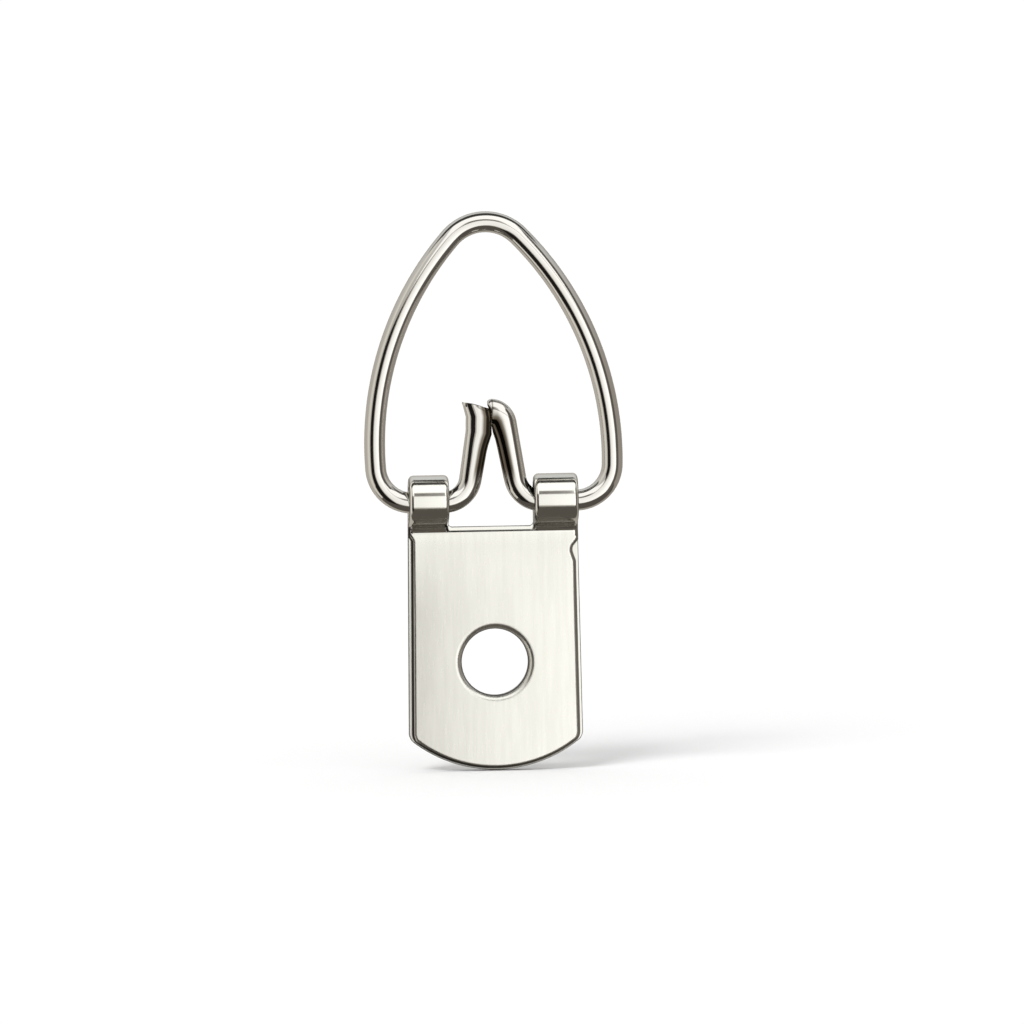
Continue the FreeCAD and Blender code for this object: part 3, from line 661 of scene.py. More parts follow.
@dataclass(frozen=True)
class Tent:
    """The grey tent round the hanger, which its metal shows between the cards."""

    left_colour: Colour = (0.5, 0.47, 0.425)
    right_colour: Colour = (0.31, 0.282, 0.25)
    top_colour: Colour = (0.62, 0.62, 0.61)
    top_fade: Pair = (0.2, 0.8)
    radius: float = 0.4
    segments: int = 48
    rings: int = 24

    def build(self) -> Object:
        """Puts the tent up.

        Returns:
            The tent.
        """
        material, board = new_material("tent")
        x, _, z = board.split(board.read("Object"))
        sides = board.mix(board.spread(x, -self.radius, self.radius),
                          self.left_colour, self.right_colour)
        upwards = board.spread(z, *(share * self.radius for share in self.top_fade))
        board.close(board.glow(board.mix(upwards, sides, self.top_colour)))
        bpy.ops.mesh.primitive_uv_sphere_add(segments=self.segments, ring_count=self.rings,
                                             radius=self.radius)
        tent = bpy.context.active_object
        tent.name = "tent"
        tent.data.materials.append(material)
        reflected_only(tent)
        return tent


@dataclass
class Studio:
    """The pale floor, the plain light and the cards round the hanger."""

    floor_height: float = -0.00617
    floor_reach: float = 3.0
    floor_slope: float = 3.5
    floor_colour: Colour = (0.98, 0.98, 0.98)
    room_colour: Colour = (1.0, 1.0, 1.0)
    room_level: float = 0.72
    lamp_level: float = 1.35
    lamp_azimuth: float = -38.0
    lamp_elevation: float = 46.0
    lamp_distance: float = 0.5
    lamp_spread: float = 26.0
    tent: Tent = Tent()
    cards: tuple[StudioCard, ...] = CARDS

    def light_room(self) -> None:
        """Gives the world a plain soft level, white to the eye and in the metal."""
        world = bpy.data.worlds.new("white_room")
        bpy.context.scene.world = world
        board = NodeBoard(world)
        path = board.add("ShaderNodeLightPath")
        mirrored = board.maths("MAXIMUM", path.outputs["Is Glossy Ray"],
                               path.outputs["Is Transmission Ray"])
        seen = board.maths("MAXIMUM", path.outputs["Is Camera Ray"], mirrored)
        room = board.add("ShaderNodeBackground")
        board.fill(room.inputs["Color"], self.room_colour)
        board.join(board.spread(seen, 0.0, 1.0, self.room_level, 1.0), room.inputs["Strength"])
        board.close(room, "ShaderNodeOutputWorld")

    def lay_floor(self) -> Object:
        """Lays the floor that the strap's foot stands on, with a slight rise to the back.

        Returns:
            The floor.
        """
        bpy.ops.mesh.primitive_plane_add(size=2.0 * self.floor_reach,
                                         location=(0.0, 0.0, self.floor_height))
        floor = bpy.context.active_object
        floor.name = "floor"
        floor.rotation_euler = (math.radians(self.floor_slope), 0.0, 0.0)
        material, board = new_material("pale_floor")
        paint = board.add("ShaderNodeBsdfDiffuse")
        board.fill(paint.inputs["Color"], self.floor_colour)
        board.close(paint)
        floor.data.materials.append(material)
        floor.visible_glossy = False
        return floor

    def hang_lamp(self) -> Object:
        """Hangs the soft lamp at the front left, which throws the shadow back and to the right.

        Returns:
            The lamp.
        """
        light = bpy.data.lights.new("soft_lamp", "SUN")
        light.angle = math.radians(self.lamp_spread)
        light.energy = self.lamp_level
        lamp = bpy.data.objects.new("soft_lamp", light)
        bpy.context.scene.collection.objects.link(lamp)
        towards = direction(self.lamp_azimuth, self.lamp_elevation)
        lamp.location = towards * self.lamp_distance
        lamp.rotation_euler = towards.to_track_quat("Z", "Y").to_euler()
        lamp.visible_glossy = False
        return lamp

    def build(self) -> None:
        """Sets up the whole studio."""
        self.light_room()
        self.lay_floor()
        self.hang_lamp()
        self.tent.build()
        for card in self.cards:
            card.build()


@dataclass(frozen=True)
class PhotoCamera:
    """A far camera, a little left of the front, that rolls slightly."""

    azimuth: float = -2.7
    elevation: float = 3.0
    roll: float = 0.9
    pixels_per_mm: float = 17.5
    hole_pixel: Pair = (494.5, 661.3)
    frame_pixels: float = 1024.0
    distance: float = 0.4
    clip_start: float = 0.001

    def build(self) -> Object:
        """Places the camera so that the screw hole falls on its pixel.

        Returns:
            The camera.
        """
        ahead, level = -direction(self.azimuth, self.elevation), sideways(self.azimuth)
        upright = level.cross(ahead)
        right = level * cosine(self.roll) - upright * sine(self.roll)
        up = level * sine(self.roll) + upright * cosine(self.roll)
        middle, step = self.frame_pixels / 2.0, MM / self.pixels_per_mm
        target = (right * (middle - self.hole_pixel[0]) * step
                  + up * (self.hole_pixel[1] - middle) * step)
        lens = bpy.data.cameras.new("photo_camera")
        lens.type = "ORTHO"
        lens.ortho_scale = self.frame_pixels * step
        lens.clip_start = self.clip_start
        camera = bpy.data.objects.new("photo_camera", lens)
        bpy.context.scene.collection.objects.link(camera)
        camera.matrix_world = stance(right, up, -ahead, target - ahead * self.distance)
        bpy.context.scene.camera = camera
        return camera


class Bench:
    """One piece on the bench, drawn in millimetres in edit mode, brought to metres at the end."""

    FLAT_WEIGHT = 80  # Over 50, large faces pull the shading flat.
    LEAST_SPLIT = 5  # Faces with this many corners or more become triangles.

    def __init__(self, name: str, start: Point) -> None:
        """Puts a single point on the bench.

        Args:
            name: The piece's name.
            start: Where its first point lies.
        """
        bpy.ops.object.select_all(action="DESELECT")
        bpy.ops.mesh.primitive_plane_add(size=1.0)
        self.piece = bpy.context.active_object
        self.piece.name = name
        self.piece.data.name = name
        bpy.ops.object.mode_set(mode="EDIT")
        bpy.ops.mesh.select_mode(type="VERT")
        self.choose_all()
        bpy.ops.mesh.merge(type="CENTER")
        bpy.ops.transform.translate(value=start)

    def go(self, step: Point) -> None:
        """Extrudes what is selected along a straight step."""
        bpy.ops.mesh.extrude_region_move(TRANSFORM_OT_translate={"value": step})

    def line_to(self, end: Point) -> None:
        """Draws a straight line from the one selected point.

        Args:
            end: Where the line ends.
        """
        mesh = bmesh.from_edit_mesh(self.piece.data)
        here = next(point.co.copy() for point in mesh.verts if point.select)
        bpy.ops.mesh.extrude_vertices_move(TRANSFORM_OT_translate={"value": Vector(end) - here})

    def spin(self, centre: Point, axis: Point, angle: float, steps: int) -> None:
        """Draws what is selected round an axis, by degrees that follow the right-hand rule."""
        bpy.ops.mesh.spin(steps=steps, dupli=False, angle=-math.radians(angle), center=centre,
                          axis=axis)

    def turn(self, angle: float, axis: str, centre: Point) -> None:
        """Turns what is selected by degrees about X, Y or Z through a centre."""
        bpy.ops.transform.rotate(value=math.radians(angle) * ROTATE_SENSE, orient_axis=axis,
                                 orient_type="GLOBAL", center_override=centre)

    def flatten(self, x: float) -> None:
        """Presses what is selected flat against an upright plane."""
        bpy.ops.transform.resize(value=(0.0, 1.0, 1.0), center_override=(x, 0.0, 0.0))

    def roll(self, radius: float, steps: int, slide: bool = True) -> None:
        """Rounds the selected edges off."""
        bpy.ops.mesh.bevel(offset=radius, segments=steps, clamp_overlap=False, loop_slide=slide)

    def choose_all(self) -> None:
        """Selects the whole mesh."""
        bpy.ops.mesh.select_all(action="SELECT")

    def choose(self, kind: Part, wanted: Callable[..., bool]) -> int:
        """Selects only the points or edges that fit a test.

        Args:
            kind: Whether points or edges are selected.
            wanted: The test.

        Returns:
            How many fit it.
        """
        bpy.ops.mesh.select_mode(type=kind.value)
        bpy.ops.mesh.select_all(action="DESELECT")
        mesh = bmesh.from_edit_mesh(self.piece.data)
        parts = mesh.verts if kind is Part.POINTS else mesh.edges
        chosen = [part for part in parts if wanted(part)]
        for part in chosen:
            part.select = True
        mesh.select_flush_mode()
        bmesh.update_edit_mesh(self.piece.data)
        return len(chosen)

    def choose_within(self, across: Pair, upwards: Pair) -> None:
        """Selects only the points that lie in a box, as seen from the front."""
        self.choose(Part.POINTS, lambda point: across[0] < point.co.x < across[1]
                    and upwards[0] < point.co.z < upwards[1])

    def round_corner(self, place: Point, radius: float, angle: float, steps: int = 6) -> None:
        """Rounds one corner of an outline.

        Args:
            place: Where the corner is.
            radius: The radius of the rounding.
            angle: The angle through which the outline turns there, in degrees.
            steps: How many steps the rounding has.
        """
        corner = Vector(place)
        self.choose(Part.POINTS, lambda point: (point.co - corner).length < SNAP)
        bpy.ops.mesh.bevel(affect="VERTICES", offset=radius * tangent(angle / 2.0),
                           segments=steps, clamp_overlap=False)

    def merge(self, apart: float = NEAR) -> None:
        """Merges points of the whole mesh that lie less than this far apart."""
        self.choose_all()
        bpy.ops.mesh.remove_doubles(threshold=apart)

    def close_outline(self) -> None:
        """Joins the outline's ends and fills it with one face."""
        self.merge()
        bpy.ops.mesh.edge_face_add()

    def thicken(self, depth: float) -> None:
        """Makes the filled outline a block that runs this far to the front.

        Args:
            depth: The block's depth.
        """
        self.choose_all()
        self.go((0.0, -depth, 0.0))
        self.face_outwards()

    def face_outwards(self, apart: float = NEAR) -> None:
        """Merges near points and turns every face outwards."""
        self.merge(apart)
        bpy.ops.mesh.normals_make_consistent(inside=False)

    def leave_editing(self) -> Object:
        """Goes back to object mode and gives the piece."""
        bpy.ops.object.mode_set(mode="OBJECT")
        return self.piece

    def take_up(self) -> None:
        """Makes the piece the only one selected, in object mode."""
        bpy.ops.object.select_all(action="DESELECT")
        bpy.context.view_layer.objects.active = self.piece
        self.piece.select_set(True)

    def add_modifier(self, name: str, kind: str, **settings: object) -> None:
        """Adds a modifier and applies it.

        Args:
            name: Its name.
            kind: Its type.
            **settings: Its attributes.
        """
        modifier: Modifier = self.piece.modifiers.new(name, kind)
        for setting, value in settings.items():
            setattr(modifier, setting, value)
        bpy.context.view_layer.objects.active = self.piece
        bpy.ops.object.modifier_apply(modifier=modifier.name)

    def carve(self, tool: Object, how: Cut = Cut.AWAY) -> None:
        """Cuts the piece with another solid, which is used up."""
        self.add_modifier("cut", "BOOLEAN", operation=how.value, solver="EXACT", object=tool)
        bpy.data.objects.remove(tool)

    def finish(self, smooth_angle: float) -> Object:
        """Brings the piece to metres, and shades it smooth with flat faces kept flat.

        Args:
            smooth_angle: Edges sharper than this many degrees stay crisp.

        Returns:
            The finished piece.
        """
        self.take_up()
        self.piece.scale = (MM, MM, MM)
        bpy.ops.object.transform_apply(location=True, rotation=True, scale=True)
        bpy.ops.object.shade_smooth_by_angle(angle=math.radians(smooth_angle))
        self.add_modifier("flat_faces", "WEIGHTED_NORMAL", keep_sharp=True,
                          weight=self.FLAT_WEIGHT)
        self.add_modifier("plain_faces", "TRIANGULATE", min_vertices=self.LEAST_SPLIT,
                          ngon_method="BEAUTY", keep_custom_normals=True)
        return self.piece


def box_tool(name: str, low: Point, high: Point) -> Bench:
    """Makes a plain block to cut with.

    Args:
        name: The block's name.
        low: Its lowest corner in millimetres.
        high: Its highest corner in millimetres.

    Returns:
        The block, in edit mode.
    """
    block = Bench(name, low)
    for index in range(3):
        step = [0.0, 0.0, 0.0]
        step[index] = high[index] - low[index]
        block.choose_all()
        block.go(tuple(step))
    block.face_outwards()
    return block


@dataclass
class FoldedStrap:
    """The strap: one strip of sheet, folded over the wire, with a window and a screw hole."""

    sheet: float = 0.45
    leaf_gap: float = 0.04
    loop_radius: float = 1.42
    loop_height: float = 9.36
    loop_steps: int = 84
    slope_angle: float = 72.0
    joggle_radius: float = 0.5
    joggle_steps: int = 24
    width: float = 9.88
    side_flare: float = 0.57
    foot_depth: float = 6.17
    foot_radius: float = 7.7
    foot_steps: int = 36
    foot_corner: float = 0.7
    side_inset: float = 0.16
    foot_inset: float = 0.07
    left_shoulder_drop: float = 0.13
    right_shoulder_drop: float = 0.43
    shoulder_angle: float = 40.0
    nick_depth: float = 0.17
    nick_floor: float = 0.25
    nick_return: float = 0.55
    shoulder_rounding: float = 0.3
    shoulder_steps: int = 4
    window_width: float = 4.86
    window_offset: float = -0.12
    window_floor_rise: float = 0.42
    window_lip_drop: float = 0.27
    window_corner: float = 0.22
    window_corner_steps: int = 6
    hole_radius: float = 1.9
    hole_steps: int = 96
    hole_roll: float = 0.42
    hole_roll_steps: int = 8
    hole_surround: float = 3.0
    edge_roll: float = 0.28
    edge_roll_steps: int = 6
    inner_break: float = 0.06
    inner_break_steps: int = 3
    doubled: float = 0.012
    tolerance: float = 0.002
    hole_tolerance: float = 0.005
    margin: float = 1.0
    crisp_angle: float = 32.0
    finish: NickelPlate = SHEET_FINISH

    def front(self) -> float:
        """How far the front face stands off the back face."""
        return 2.0 * self.sheet + self.leaf_gap

    def split(self) -> float:
        """The depth of the middle of the gap between the leaves."""
        return -self.sheet - self.leaf_gap / 2.0

    def block_depth(self) -> float:
        """The depth of a block that reaches through the whole fold."""
        return 2.0 * self.loop_radius + 2.0 * self.margin

    def joggle_foot(self) -> float:
        """Works out where the front leaf bends out towards the loop.

        Returns:
            The height in millimetres.
        """
        inner = self.loop_radius - self.front() - self.joggle_radius
        rise = self.loop_radius + self.joggle_radius + inner * cosine(self.slope_angle)
        return self.loop_height - rise / sine(self.slope_angle)

    def loop_middle(self) -> Pair:
        """The depth and the height of the loop's middle."""
        return -self.loop_radius, self.loop_height

    def bend_middle(self) -> Pair:
        """The depth and the height of the middle round which the joggle bends."""
        return -self.front() - self.joggle_radius, self.joggle_foot()

    def half_width_at(self, height: float, inset: float) -> float:
        """Half the width of a leaf at a height, with its sides trimmed by an inset."""
        trimmed = self.width / 2.0 - inset / cosine(self.side_flare)
        return trimmed - height * tangent(self.side_flare)

    def fold_sheet(self) -> Bench:
        """Folds the blank: up the back, round the loop, down the slope and the front.

        Returns:
            The folded sheet, in object mode.
        """
        reach = self.width / 2.0 + self.margin
        bottom = -self.foot_depth - self.margin
        across, loop, bend = (1.0, 0.0, 0.0), self.loop_middle(), self.bend_middle()
        lean = (cosine(self.slope_angle), sine(self.slope_angle))
        top = [middle - self.loop_radius * part for middle, part in zip(loop, lean)]
        foot = [middle + self.joggle_radius * part for middle, part in zip(bend, lean)]
        bench = Bench("folded_strap", (-reach, 0.0, bottom))
        bench.go((2.0 * reach, 0.0, 0.0))
        bench.choose_all()
        bench.go((0.0, 0.0, self.loop_height - bottom))
        bench.spin((0.0, *loop), across, 180.0 + self.slope_angle, self.loop_steps)
        bench.go((0.0, foot[0] - top[0], foot[1] - top[1]))
        bench.spin((0.0, *bend), across, -self.slope_angle, self.joggle_steps)
        bench.go((0.0, 0.0, bottom - self.joggle_foot()))
        bench.face_outwards()
        skin = bench.leave_editing()
        bench.add_modifier("sheet", "SOLIDIFY", thickness=self.sheet,
                           offset=self.inward_side(skin), use_even_offset=True)
        return bench

    def inward_side(self, skin: Object) -> float:
        """Gives -1 where the skin's faces point out of the fold, else 1."""
        back = min(skin.data.polygons, key=lambda face: abs(face.center.y))
        return -1.0 if back.normal.y > 0.0 else 1.0

    def foot_end(self, inset: float, foot_inset: float) -> Point:
        """Works out where a leaf's side meets its foot.

        Args:
            inset: How far the leaf's sides are trimmed.
            foot_inset: How far its foot is trimmed.

        Returns:
            The distance from the middle, the height, and half the foot's arc in degrees.
        """
        radius, middle = self.foot_radius - foot_inset, self.foot_radius - self.foot_depth
        slant = tangent(self.side_flare)
        half = self.half_width_at(0.0, inset)
        drop = half * slant + middle
        square = 1.0 + slant ** 2
        root = math.sqrt(drop ** 2 - square * (half ** 2 + middle ** 2 - radius ** 2))
        height = (drop - root) / square
        side = self.half_width_at(height, inset)
        return side, height, math.degrees(math.atan2(side, middle - height))

    def outline_block(self, name: str, corner: Point, run: list[Pair],
                      roundings: list[tuple[Pair, float]]) -> Bench:
        """Draws a leaf's outline and makes it a block that reaches through the whole fold.

        Args:
            name: The block's name.
            corner: Where the leaf's side meets its foot, as foot_end gives it.
            run: The outline's other corners, from the right side over the top to the left.
            roundings: The corners of the run that are rounded, and how far it turns there.

        Returns:
            The block, in edit mode.
        """
        side, height, reach = corner
        middle = (0.0, 0.0, self.foot_radius - self.foot_depth)
        bench = Bench(name, (-side, 0.0, height))
        bench.spin(middle, TO_FRONT, 2.0 * reach, self.foot_steps)
        for x, z in run:
            bench.line_to((x, 0.0, z))
        bench.close_outline()
        for sign in (-1.0, 1.0):
            bench.round_corner((sign * side, 0.0, height), self.foot_corner, 90.0 - reach)
        for (x, z), angle in roundings:
            bench.round_corner((x, 0.0, z), self.shoulder_rounding, angle, self.shoulder_steps)
        bench.thicken(self.block_depth())
        return bench

    def back_block(self) -> Object:
        """Makes the block that both leaves are kept inside.

        Returns:
            The block.
        """
        top = self.loop_height + self.loop_radius + self.margin
        run = [(sign * self.half_width_at(top, 0.0), top) for sign in (1.0, -1.0)]
        bench = self.outline_block("both_leaves", self.foot_end(0.0, 0.0), run, [])
        bench.choose_all()
        bpy.ops.transform.translate(value=(0.0, self.margin, 0.0))
        return bench.leave_editing()

    def front_block(self) -> Object:
        """Makes the block that the front leaf is kept inside, with its shoulders and its nick.

        Returns:
            The block.
        """
        slant, inset = self.shoulder_angle, self.side_inset
        left_high = self.joggle_foot() - self.left_shoulder_drop
        right_high = self.joggle_foot() - self.right_shoulder_drop
        top = self.joggle_foot() + self.margin
        left_start = (-self.half_width_at(left_high, 0.0), left_high)
        right_start = (self.half_width_at(right_high, 0.0), right_high)
        fall = inset / sine(slant - self.side_flare)
        bite = (inset + self.nick_depth) / sine(slant - self.side_flare)
        left_step = (left_start[0] + fall * sine(slant), left_high - fall * cosine(slant))
        nick_top = (right_start[0] - bite * sine(slant), right_high - bite * cosine(slant))
        nick_low = (nick_top[0], nick_top[1] - self.nick_floor)
        nick_end_height = nick_low[1] - self.nick_return
        nick_end = (self.half_width_at(nick_end_height, inset), nick_end_height)
        return_turn = math.degrees(math.atan2(nick_end[0] - nick_low[0], self.nick_return))
        run = [nick_end, nick_low, nick_top, right_start, (right_start[0], top),
               (left_start[0], top), left_start, left_step]
        roundings = [(nick_end, return_turn), (nick_low, return_turn), (nick_top, slant),
                     (right_start, slant), (left_start, slant), (left_step, slant)]
        corner = self.foot_end(inset, self.foot_inset)
        return self.outline_block("front_leaf", corner, run, roundings).leave_editing()

    def trim(self, bench: Bench) -> None:
        """Trims both leaves to their outlines.

        Args:
            bench: The bench with the folded sheet.
        """
        bench.carve(self.back_block(), Cut.TO_SHAPE)
        reach, bottom = self.width / 2.0 + self.margin, -self.foot_depth - self.margin
        sides = ((-reach, 0.0, self.joggle_foot() - self.left_shoulder_drop),
                 (0.0, reach, self.joggle_foot() - self.right_shoulder_drop))
        for index, (low, high, top) in enumerate(sides):
            waste = box_tool(f"waste_{index}", (low, self.split() - 2.0 * self.loop_radius, bottom),
                             (high, self.split(), top))
            waste.leave_editing()
            waste.carve(self.front_block())
            bench.carve(waste.piece)

    def open_window(self, bench: Bench) -> None:
        """Cuts the window through the fold, a little lower through the front leaf.

        Args:
            bench: The bench with the strap.
        """
        left = self.window_offset - self.window_width / 2.0
        right = self.window_offset + self.window_width / 2.0
        top = self.loop_height + self.loop_radius + self.margin
        floor = self.joggle_foot() + self.window_floor_rise
        steps = ((self.margin, floor), (self.split(), floor - self.window_lip_drop))
        for index, (back, low) in enumerate(steps):
            block = box_tool(f"window_{index}", (left, -2.0 * self.loop_radius - self.margin, low),
                             (right, back, top))
            block.choose(Part.EDGES, lambda edge: all(
                abs(point.co.z - low) < NEAR for point in edge.verts)
                and abs(edge.verts[0].co.x - edge.verts[1].co.x) < NEAR)
            block.roll(self.window_corner, self.window_corner_steps)
            bench.carve(block.leave_editing())

    def punch_hole(self, bench: Bench) -> None:
        """Punches the screw hole through both leaves.

        Args:
            bench: The bench with the strap.
        """
        punch = Bench("punch", (self.hole_radius, self.margin, 0.0))
        punch.spin((0.0, self.margin, 0.0), TO_FRONT, 360.0, self.hole_steps)
        punch.close_outline()
        punch.thicken(2.0 * self.front() + self.margin)
        bench.carve(punch.leave_editing())

    def lies_at(self, place: Vector, depth: float) -> bool:
        """Tells whether a point lies at a depth under the folded sheet's skin.

        Args:
            place: The point in millimetres.
            depth: 0 for the skin, or the sheet's thickness for its inner side.

        Returns:
            Whether it lies there.
        """
        near, loop, bend = self.tolerance, self.loop_middle(), self.bend_middle()
        lean = (cosine(self.slope_angle), sine(self.slope_angle))
        offset = (place.y - bend[0], place.z - bend[1])
        bend_radius = self.joggle_radius + depth
        loop_reach = math.hypot(place.y - loop[0], place.z - loop[1])
        on_back = abs(place.y + depth) < near and place.z < loop[1] + near
        on_front = abs(place.y + self.front() - depth) < near and place.z < bend[1] + near
        on_loop = abs(loop_reach - self.loop_radius + depth) < near
        on_slope = abs(offset[0] * lean[0] + offset[1] * lean[1] - bend_radius) < near
        on_bend = abs(math.hypot(*offset) - bend_radius) < near
        return on_back or on_front or on_loop or (offset[1] > -near and (on_slope or on_bend))

    def is_rim(self, edge: bmesh.types.BMEdge, depth: float) -> bool:
        """Tells whether an edge parts the skin, or the side at that depth, from a cut face."""
        sides = [all(self.lies_at(point.co, depth) for point in face.verts)
                 for face in edge.link_faces]
        return len(sides) == 2 and sides[0] != sides[1]

    def on_outline(self, edge: bmesh.types.BMEdge, depth: float) -> bool:
        """Tells whether an edge is such a rim, clear of the screw hole."""
        reach = math.hypot(edge.verts[0].co.x, edge.verts[0].co.z)
        return reach > self.hole_surround and self.is_rim(edge, depth)

    def on_front_rim(self, edge: bmesh.types.BMEdge) -> bool:
        """Tells whether an edge belongs to the screw hole's front rim.

        Args:
            edge: The edge.

        Returns:
            Whether it does.
        """
        reaches = [math.hypot(point.co.x, point.co.z) for point in edge.verts]
        round_hole = all(abs(reach - self.hole_radius) < self.hole_tolerance for reach in reaches)
        return round_hole and self.is_rim(edge, 0.0) and edge.verts[0].co.y < -self.sheet

    def roll_edges(self, bench: Bench) -> None:
        """Rolls the hole's front rim, then every other outer edge, and breaks the inner ones.

        Args:
            bench: The bench with the strap.
        """
        bench.take_up()
        bpy.ops.object.mode_set(mode="EDIT")
        bench.face_outwards(self.doubled)
        rims = bench.choose(Part.EDGES, self.on_front_rim)
        bench.roll(self.hole_roll, self.hole_roll_steps)
        edges = bench.choose(Part.EDGES, lambda edge: self.on_outline(edge, 0.0))
        bench.roll(self.edge_roll, self.edge_roll_steps, slide=False)
        bench.choose(Part.EDGES, lambda edge: self.on_outline(edge, self.sheet))
        bench.roll(self.inner_break, self.inner_break_steps)
        LOG.info("rolled %d rim edges of the hole and %d outer edges", rims, edges)
        bench.face_outwards()
        bench.leave_editing()

    def build(self) -> Object:
        """Makes the strap and dresses it.

        Returns:
            The strap.
        """
        bench = self.fold_sheet()
        self.trim(bench)
        self.open_window(bench)
        self.punch_hole(bench)
        self.roll_edges(bench)
        piece = bench.finish(self.crisp_angle)
        dress(piece, self.finish)
        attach(piece, "strap")
        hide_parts("strap")
        return piece


@dataclass(frozen=True)
class Station:
    """One section of the wire: its middle, the way it heads and its half width and depth."""

    x: float
    z: float
    heading: float
    half_width: float
    half_depth: float


def ease(first: Station, last: Station, steps: int, late: bool) -> list[Station]:
    """Sets out stations between two sections.

    Args:
        first: The section that the run starts from.
        last: The section that it ends at.
        steps: How many stations it has.
        late: Whether the change gathers towards the end.

    Returns:
        The stations, the last section among them.
    """
    stations = []
    for step in range(1, steps + 1):
        share = step / steps
        grown = share ** 2 if late else share
        stations.append(Station(
            first.x + share * (last.x - first.x), first.z + share * (last.z - first.z),
            first.heading + grown * (last.heading - first.heading),
            first.half_width + grown * (last.half_width - first.half_width),
            first.half_depth + grown * (last.half_depth - first.half_depth)))
    return stations


@dataclass
class RingWire:
    """The ring: one wire bent to an egg shape, whose ends turn up between the ears."""

    wire_radius: float = 0.6
    section_points: int = 40
    loop_radius: float = 1.42
    loop_height: float = 9.36
    foot_play: float = 0.15
    board_clearance: float = 0.05
    height: float = 16.0
    half_width: float = 6.77
    corner_radius: float = 2.1
    corner_offset: float = 0.08
    corner_steps: int = 24
    side_radius: float = 18.07
    side_steps: int = 40
    apex_radius: float = 2.67
    apex_offset: float = -0.21
    apex_steps: int = 32
    bend_start: float = 2.82
    bend_radius: float = 1.56
    bend_steps: int = 20
    leg_angle: float = 80.0
    leg_steps: int = 8
    leg_half_width: float = 0.7
    leg_half_depth: float = 0.49
    leg_gap: float = 0.04
    legs_top: float = 7.0
    left_leg: float = 2.71
    press_swell: float = 0.07
    press_start: float = 0.78
    press_reach: float = 2.0
    press_low: float = 3.0
    tip_press: float = 0.8
    neck_shift: float = 0.04
    neck_rise: float = 0.91
    neck_half_width: float = 0.78
    neck_steps: int = 6
    flare_shift: float = -0.12
    flare_rise: float = 1.63
    flare_half_width: float = 0.88
    flare_half_depth: float = 0.42
    flare_slope: float = 18.0
    flare_steps: int = 10
    shear_tilt: float = 28.0
    end_break: float = 0.05
    end_break_steps: int = 3
    right_leg: float = 3.23
    tip_radius: float = 0.8
    tip_turn: float = 85.0
    tip_steps: int = 12
    tip_rounding: float = 0.2
    tip_rounding_steps: int = 6
    tip_inset: float = 0.12
    beak_height: float = 5.42
    smooth_above: float = 4.7
    smooth_reach: float = 0.36
    smooth_factor: float = 0.5
    smooth_rounds: int = 2
    crisp_angle: float = 40.0
    finish: NickelPlate = WIRE_FINISH

    def apex_middle(self) -> Pair:
        """The middle of the apex arc."""
        return self.apex_offset, self.height - self.apex_radius

    def side_middle(self, sign: float) -> tuple[Pair, Pair]:
        """Finds the middles of one corner arc and of the side arc that touches it and the apex.

        Args:
            sign: 1 for the right side, -1 for the left.

        Returns:
            The corner's middle and the side's middle.
        """
        apex = self.apex_middle()
        corner = (sign * (self.half_width - self.corner_radius) + self.corner_offset,
                  self.corner_radius)
        across = (corner[0] - apex[0], corner[1] - apex[1])
        apart = math.hypot(*across)
        long, short = self.side_radius - self.apex_radius, self.side_radius - self.corner_radius
        along = (long ** 2 - short ** 2 + apart ** 2) / (2.0 * apart)
        aside = math.sqrt(long ** 2 - along ** 2)
        unit = (across[0] / apart, across[1] / apart)
        side = (apex[0] + along * unit[0] + sign * aside * unit[1],
                apex[1] + along * unit[1] - sign * aside * unit[0])
        return corner, side

    def bend_bow(self) -> Bench:
        """Bends the bow from the right foot over the apex to the left foot.

        Returns:
            The bow, with the section at its left foot selected.
        """
        apex = self.apex_middle()
        right_corner, right_side = self.side_middle(1.0)
        left_corner, left_side = self.side_middle(-1.0)
        right_low, right_high = bearing(right_side, right_corner), bearing(right_side, apex)
        left_high, left_low = bearing(left_side, apex), bearing(left_side, left_corner)
        bench = Bench("ring_wire", (self.bend_start, 0.0, self.wire_radius))
        bench.spin((self.bend_start, 0.0, 0.0), (1.0, 0.0, 0.0), 360.0, self.section_points)
        bench.merge()
        bench.go((right_corner[0] - self.bend_start, 0.0, 0.0))
        turns = ((right_corner, right_low + 90.0, self.corner_steps),
                 (right_side, right_high - right_low, self.side_steps),
                 (apex, left_high - right_high, self.apex_steps),
                 (left_side, left_low - left_high, self.side_steps),
                 (left_corner, 270.0 - left_low, self.corner_steps))
        for middle, angle, steps in turns:
            bench.spin((middle[0], 0.0, middle[1]), TO_FRONT, angle, steps)
        bench.go((-self.bend_start - left_corner[0], 0.0, 0.0))
        return bench

    def leg_station(self, sign: float, place: Pair, turned: float, share: float) -> Station:
        """Sets out one section of a leg.

        Args:
            sign: 1 for the right leg, -1 for the left.
            place: The section's middle, across and up.
            turned: How far the wire has turned up from the foot.
            share: How far along the leg the section lies, from 0 to 1.

        Returns:
            The station.
        """
        pressed = max(0.0, (share - self.press_start) / (1.0 - self.press_start))
        swell = self.press_swell * pressed ** 2.0
        return Station(place[0] - sign * swell, place[1], turned if sign < 0 else 180.0 - turned,
                       self.wire_radius + share * (self.leg_half_width - self.wire_radius) + swell,
                       self.wire_radius + share * (self.leg_half_depth - self.wire_radius))

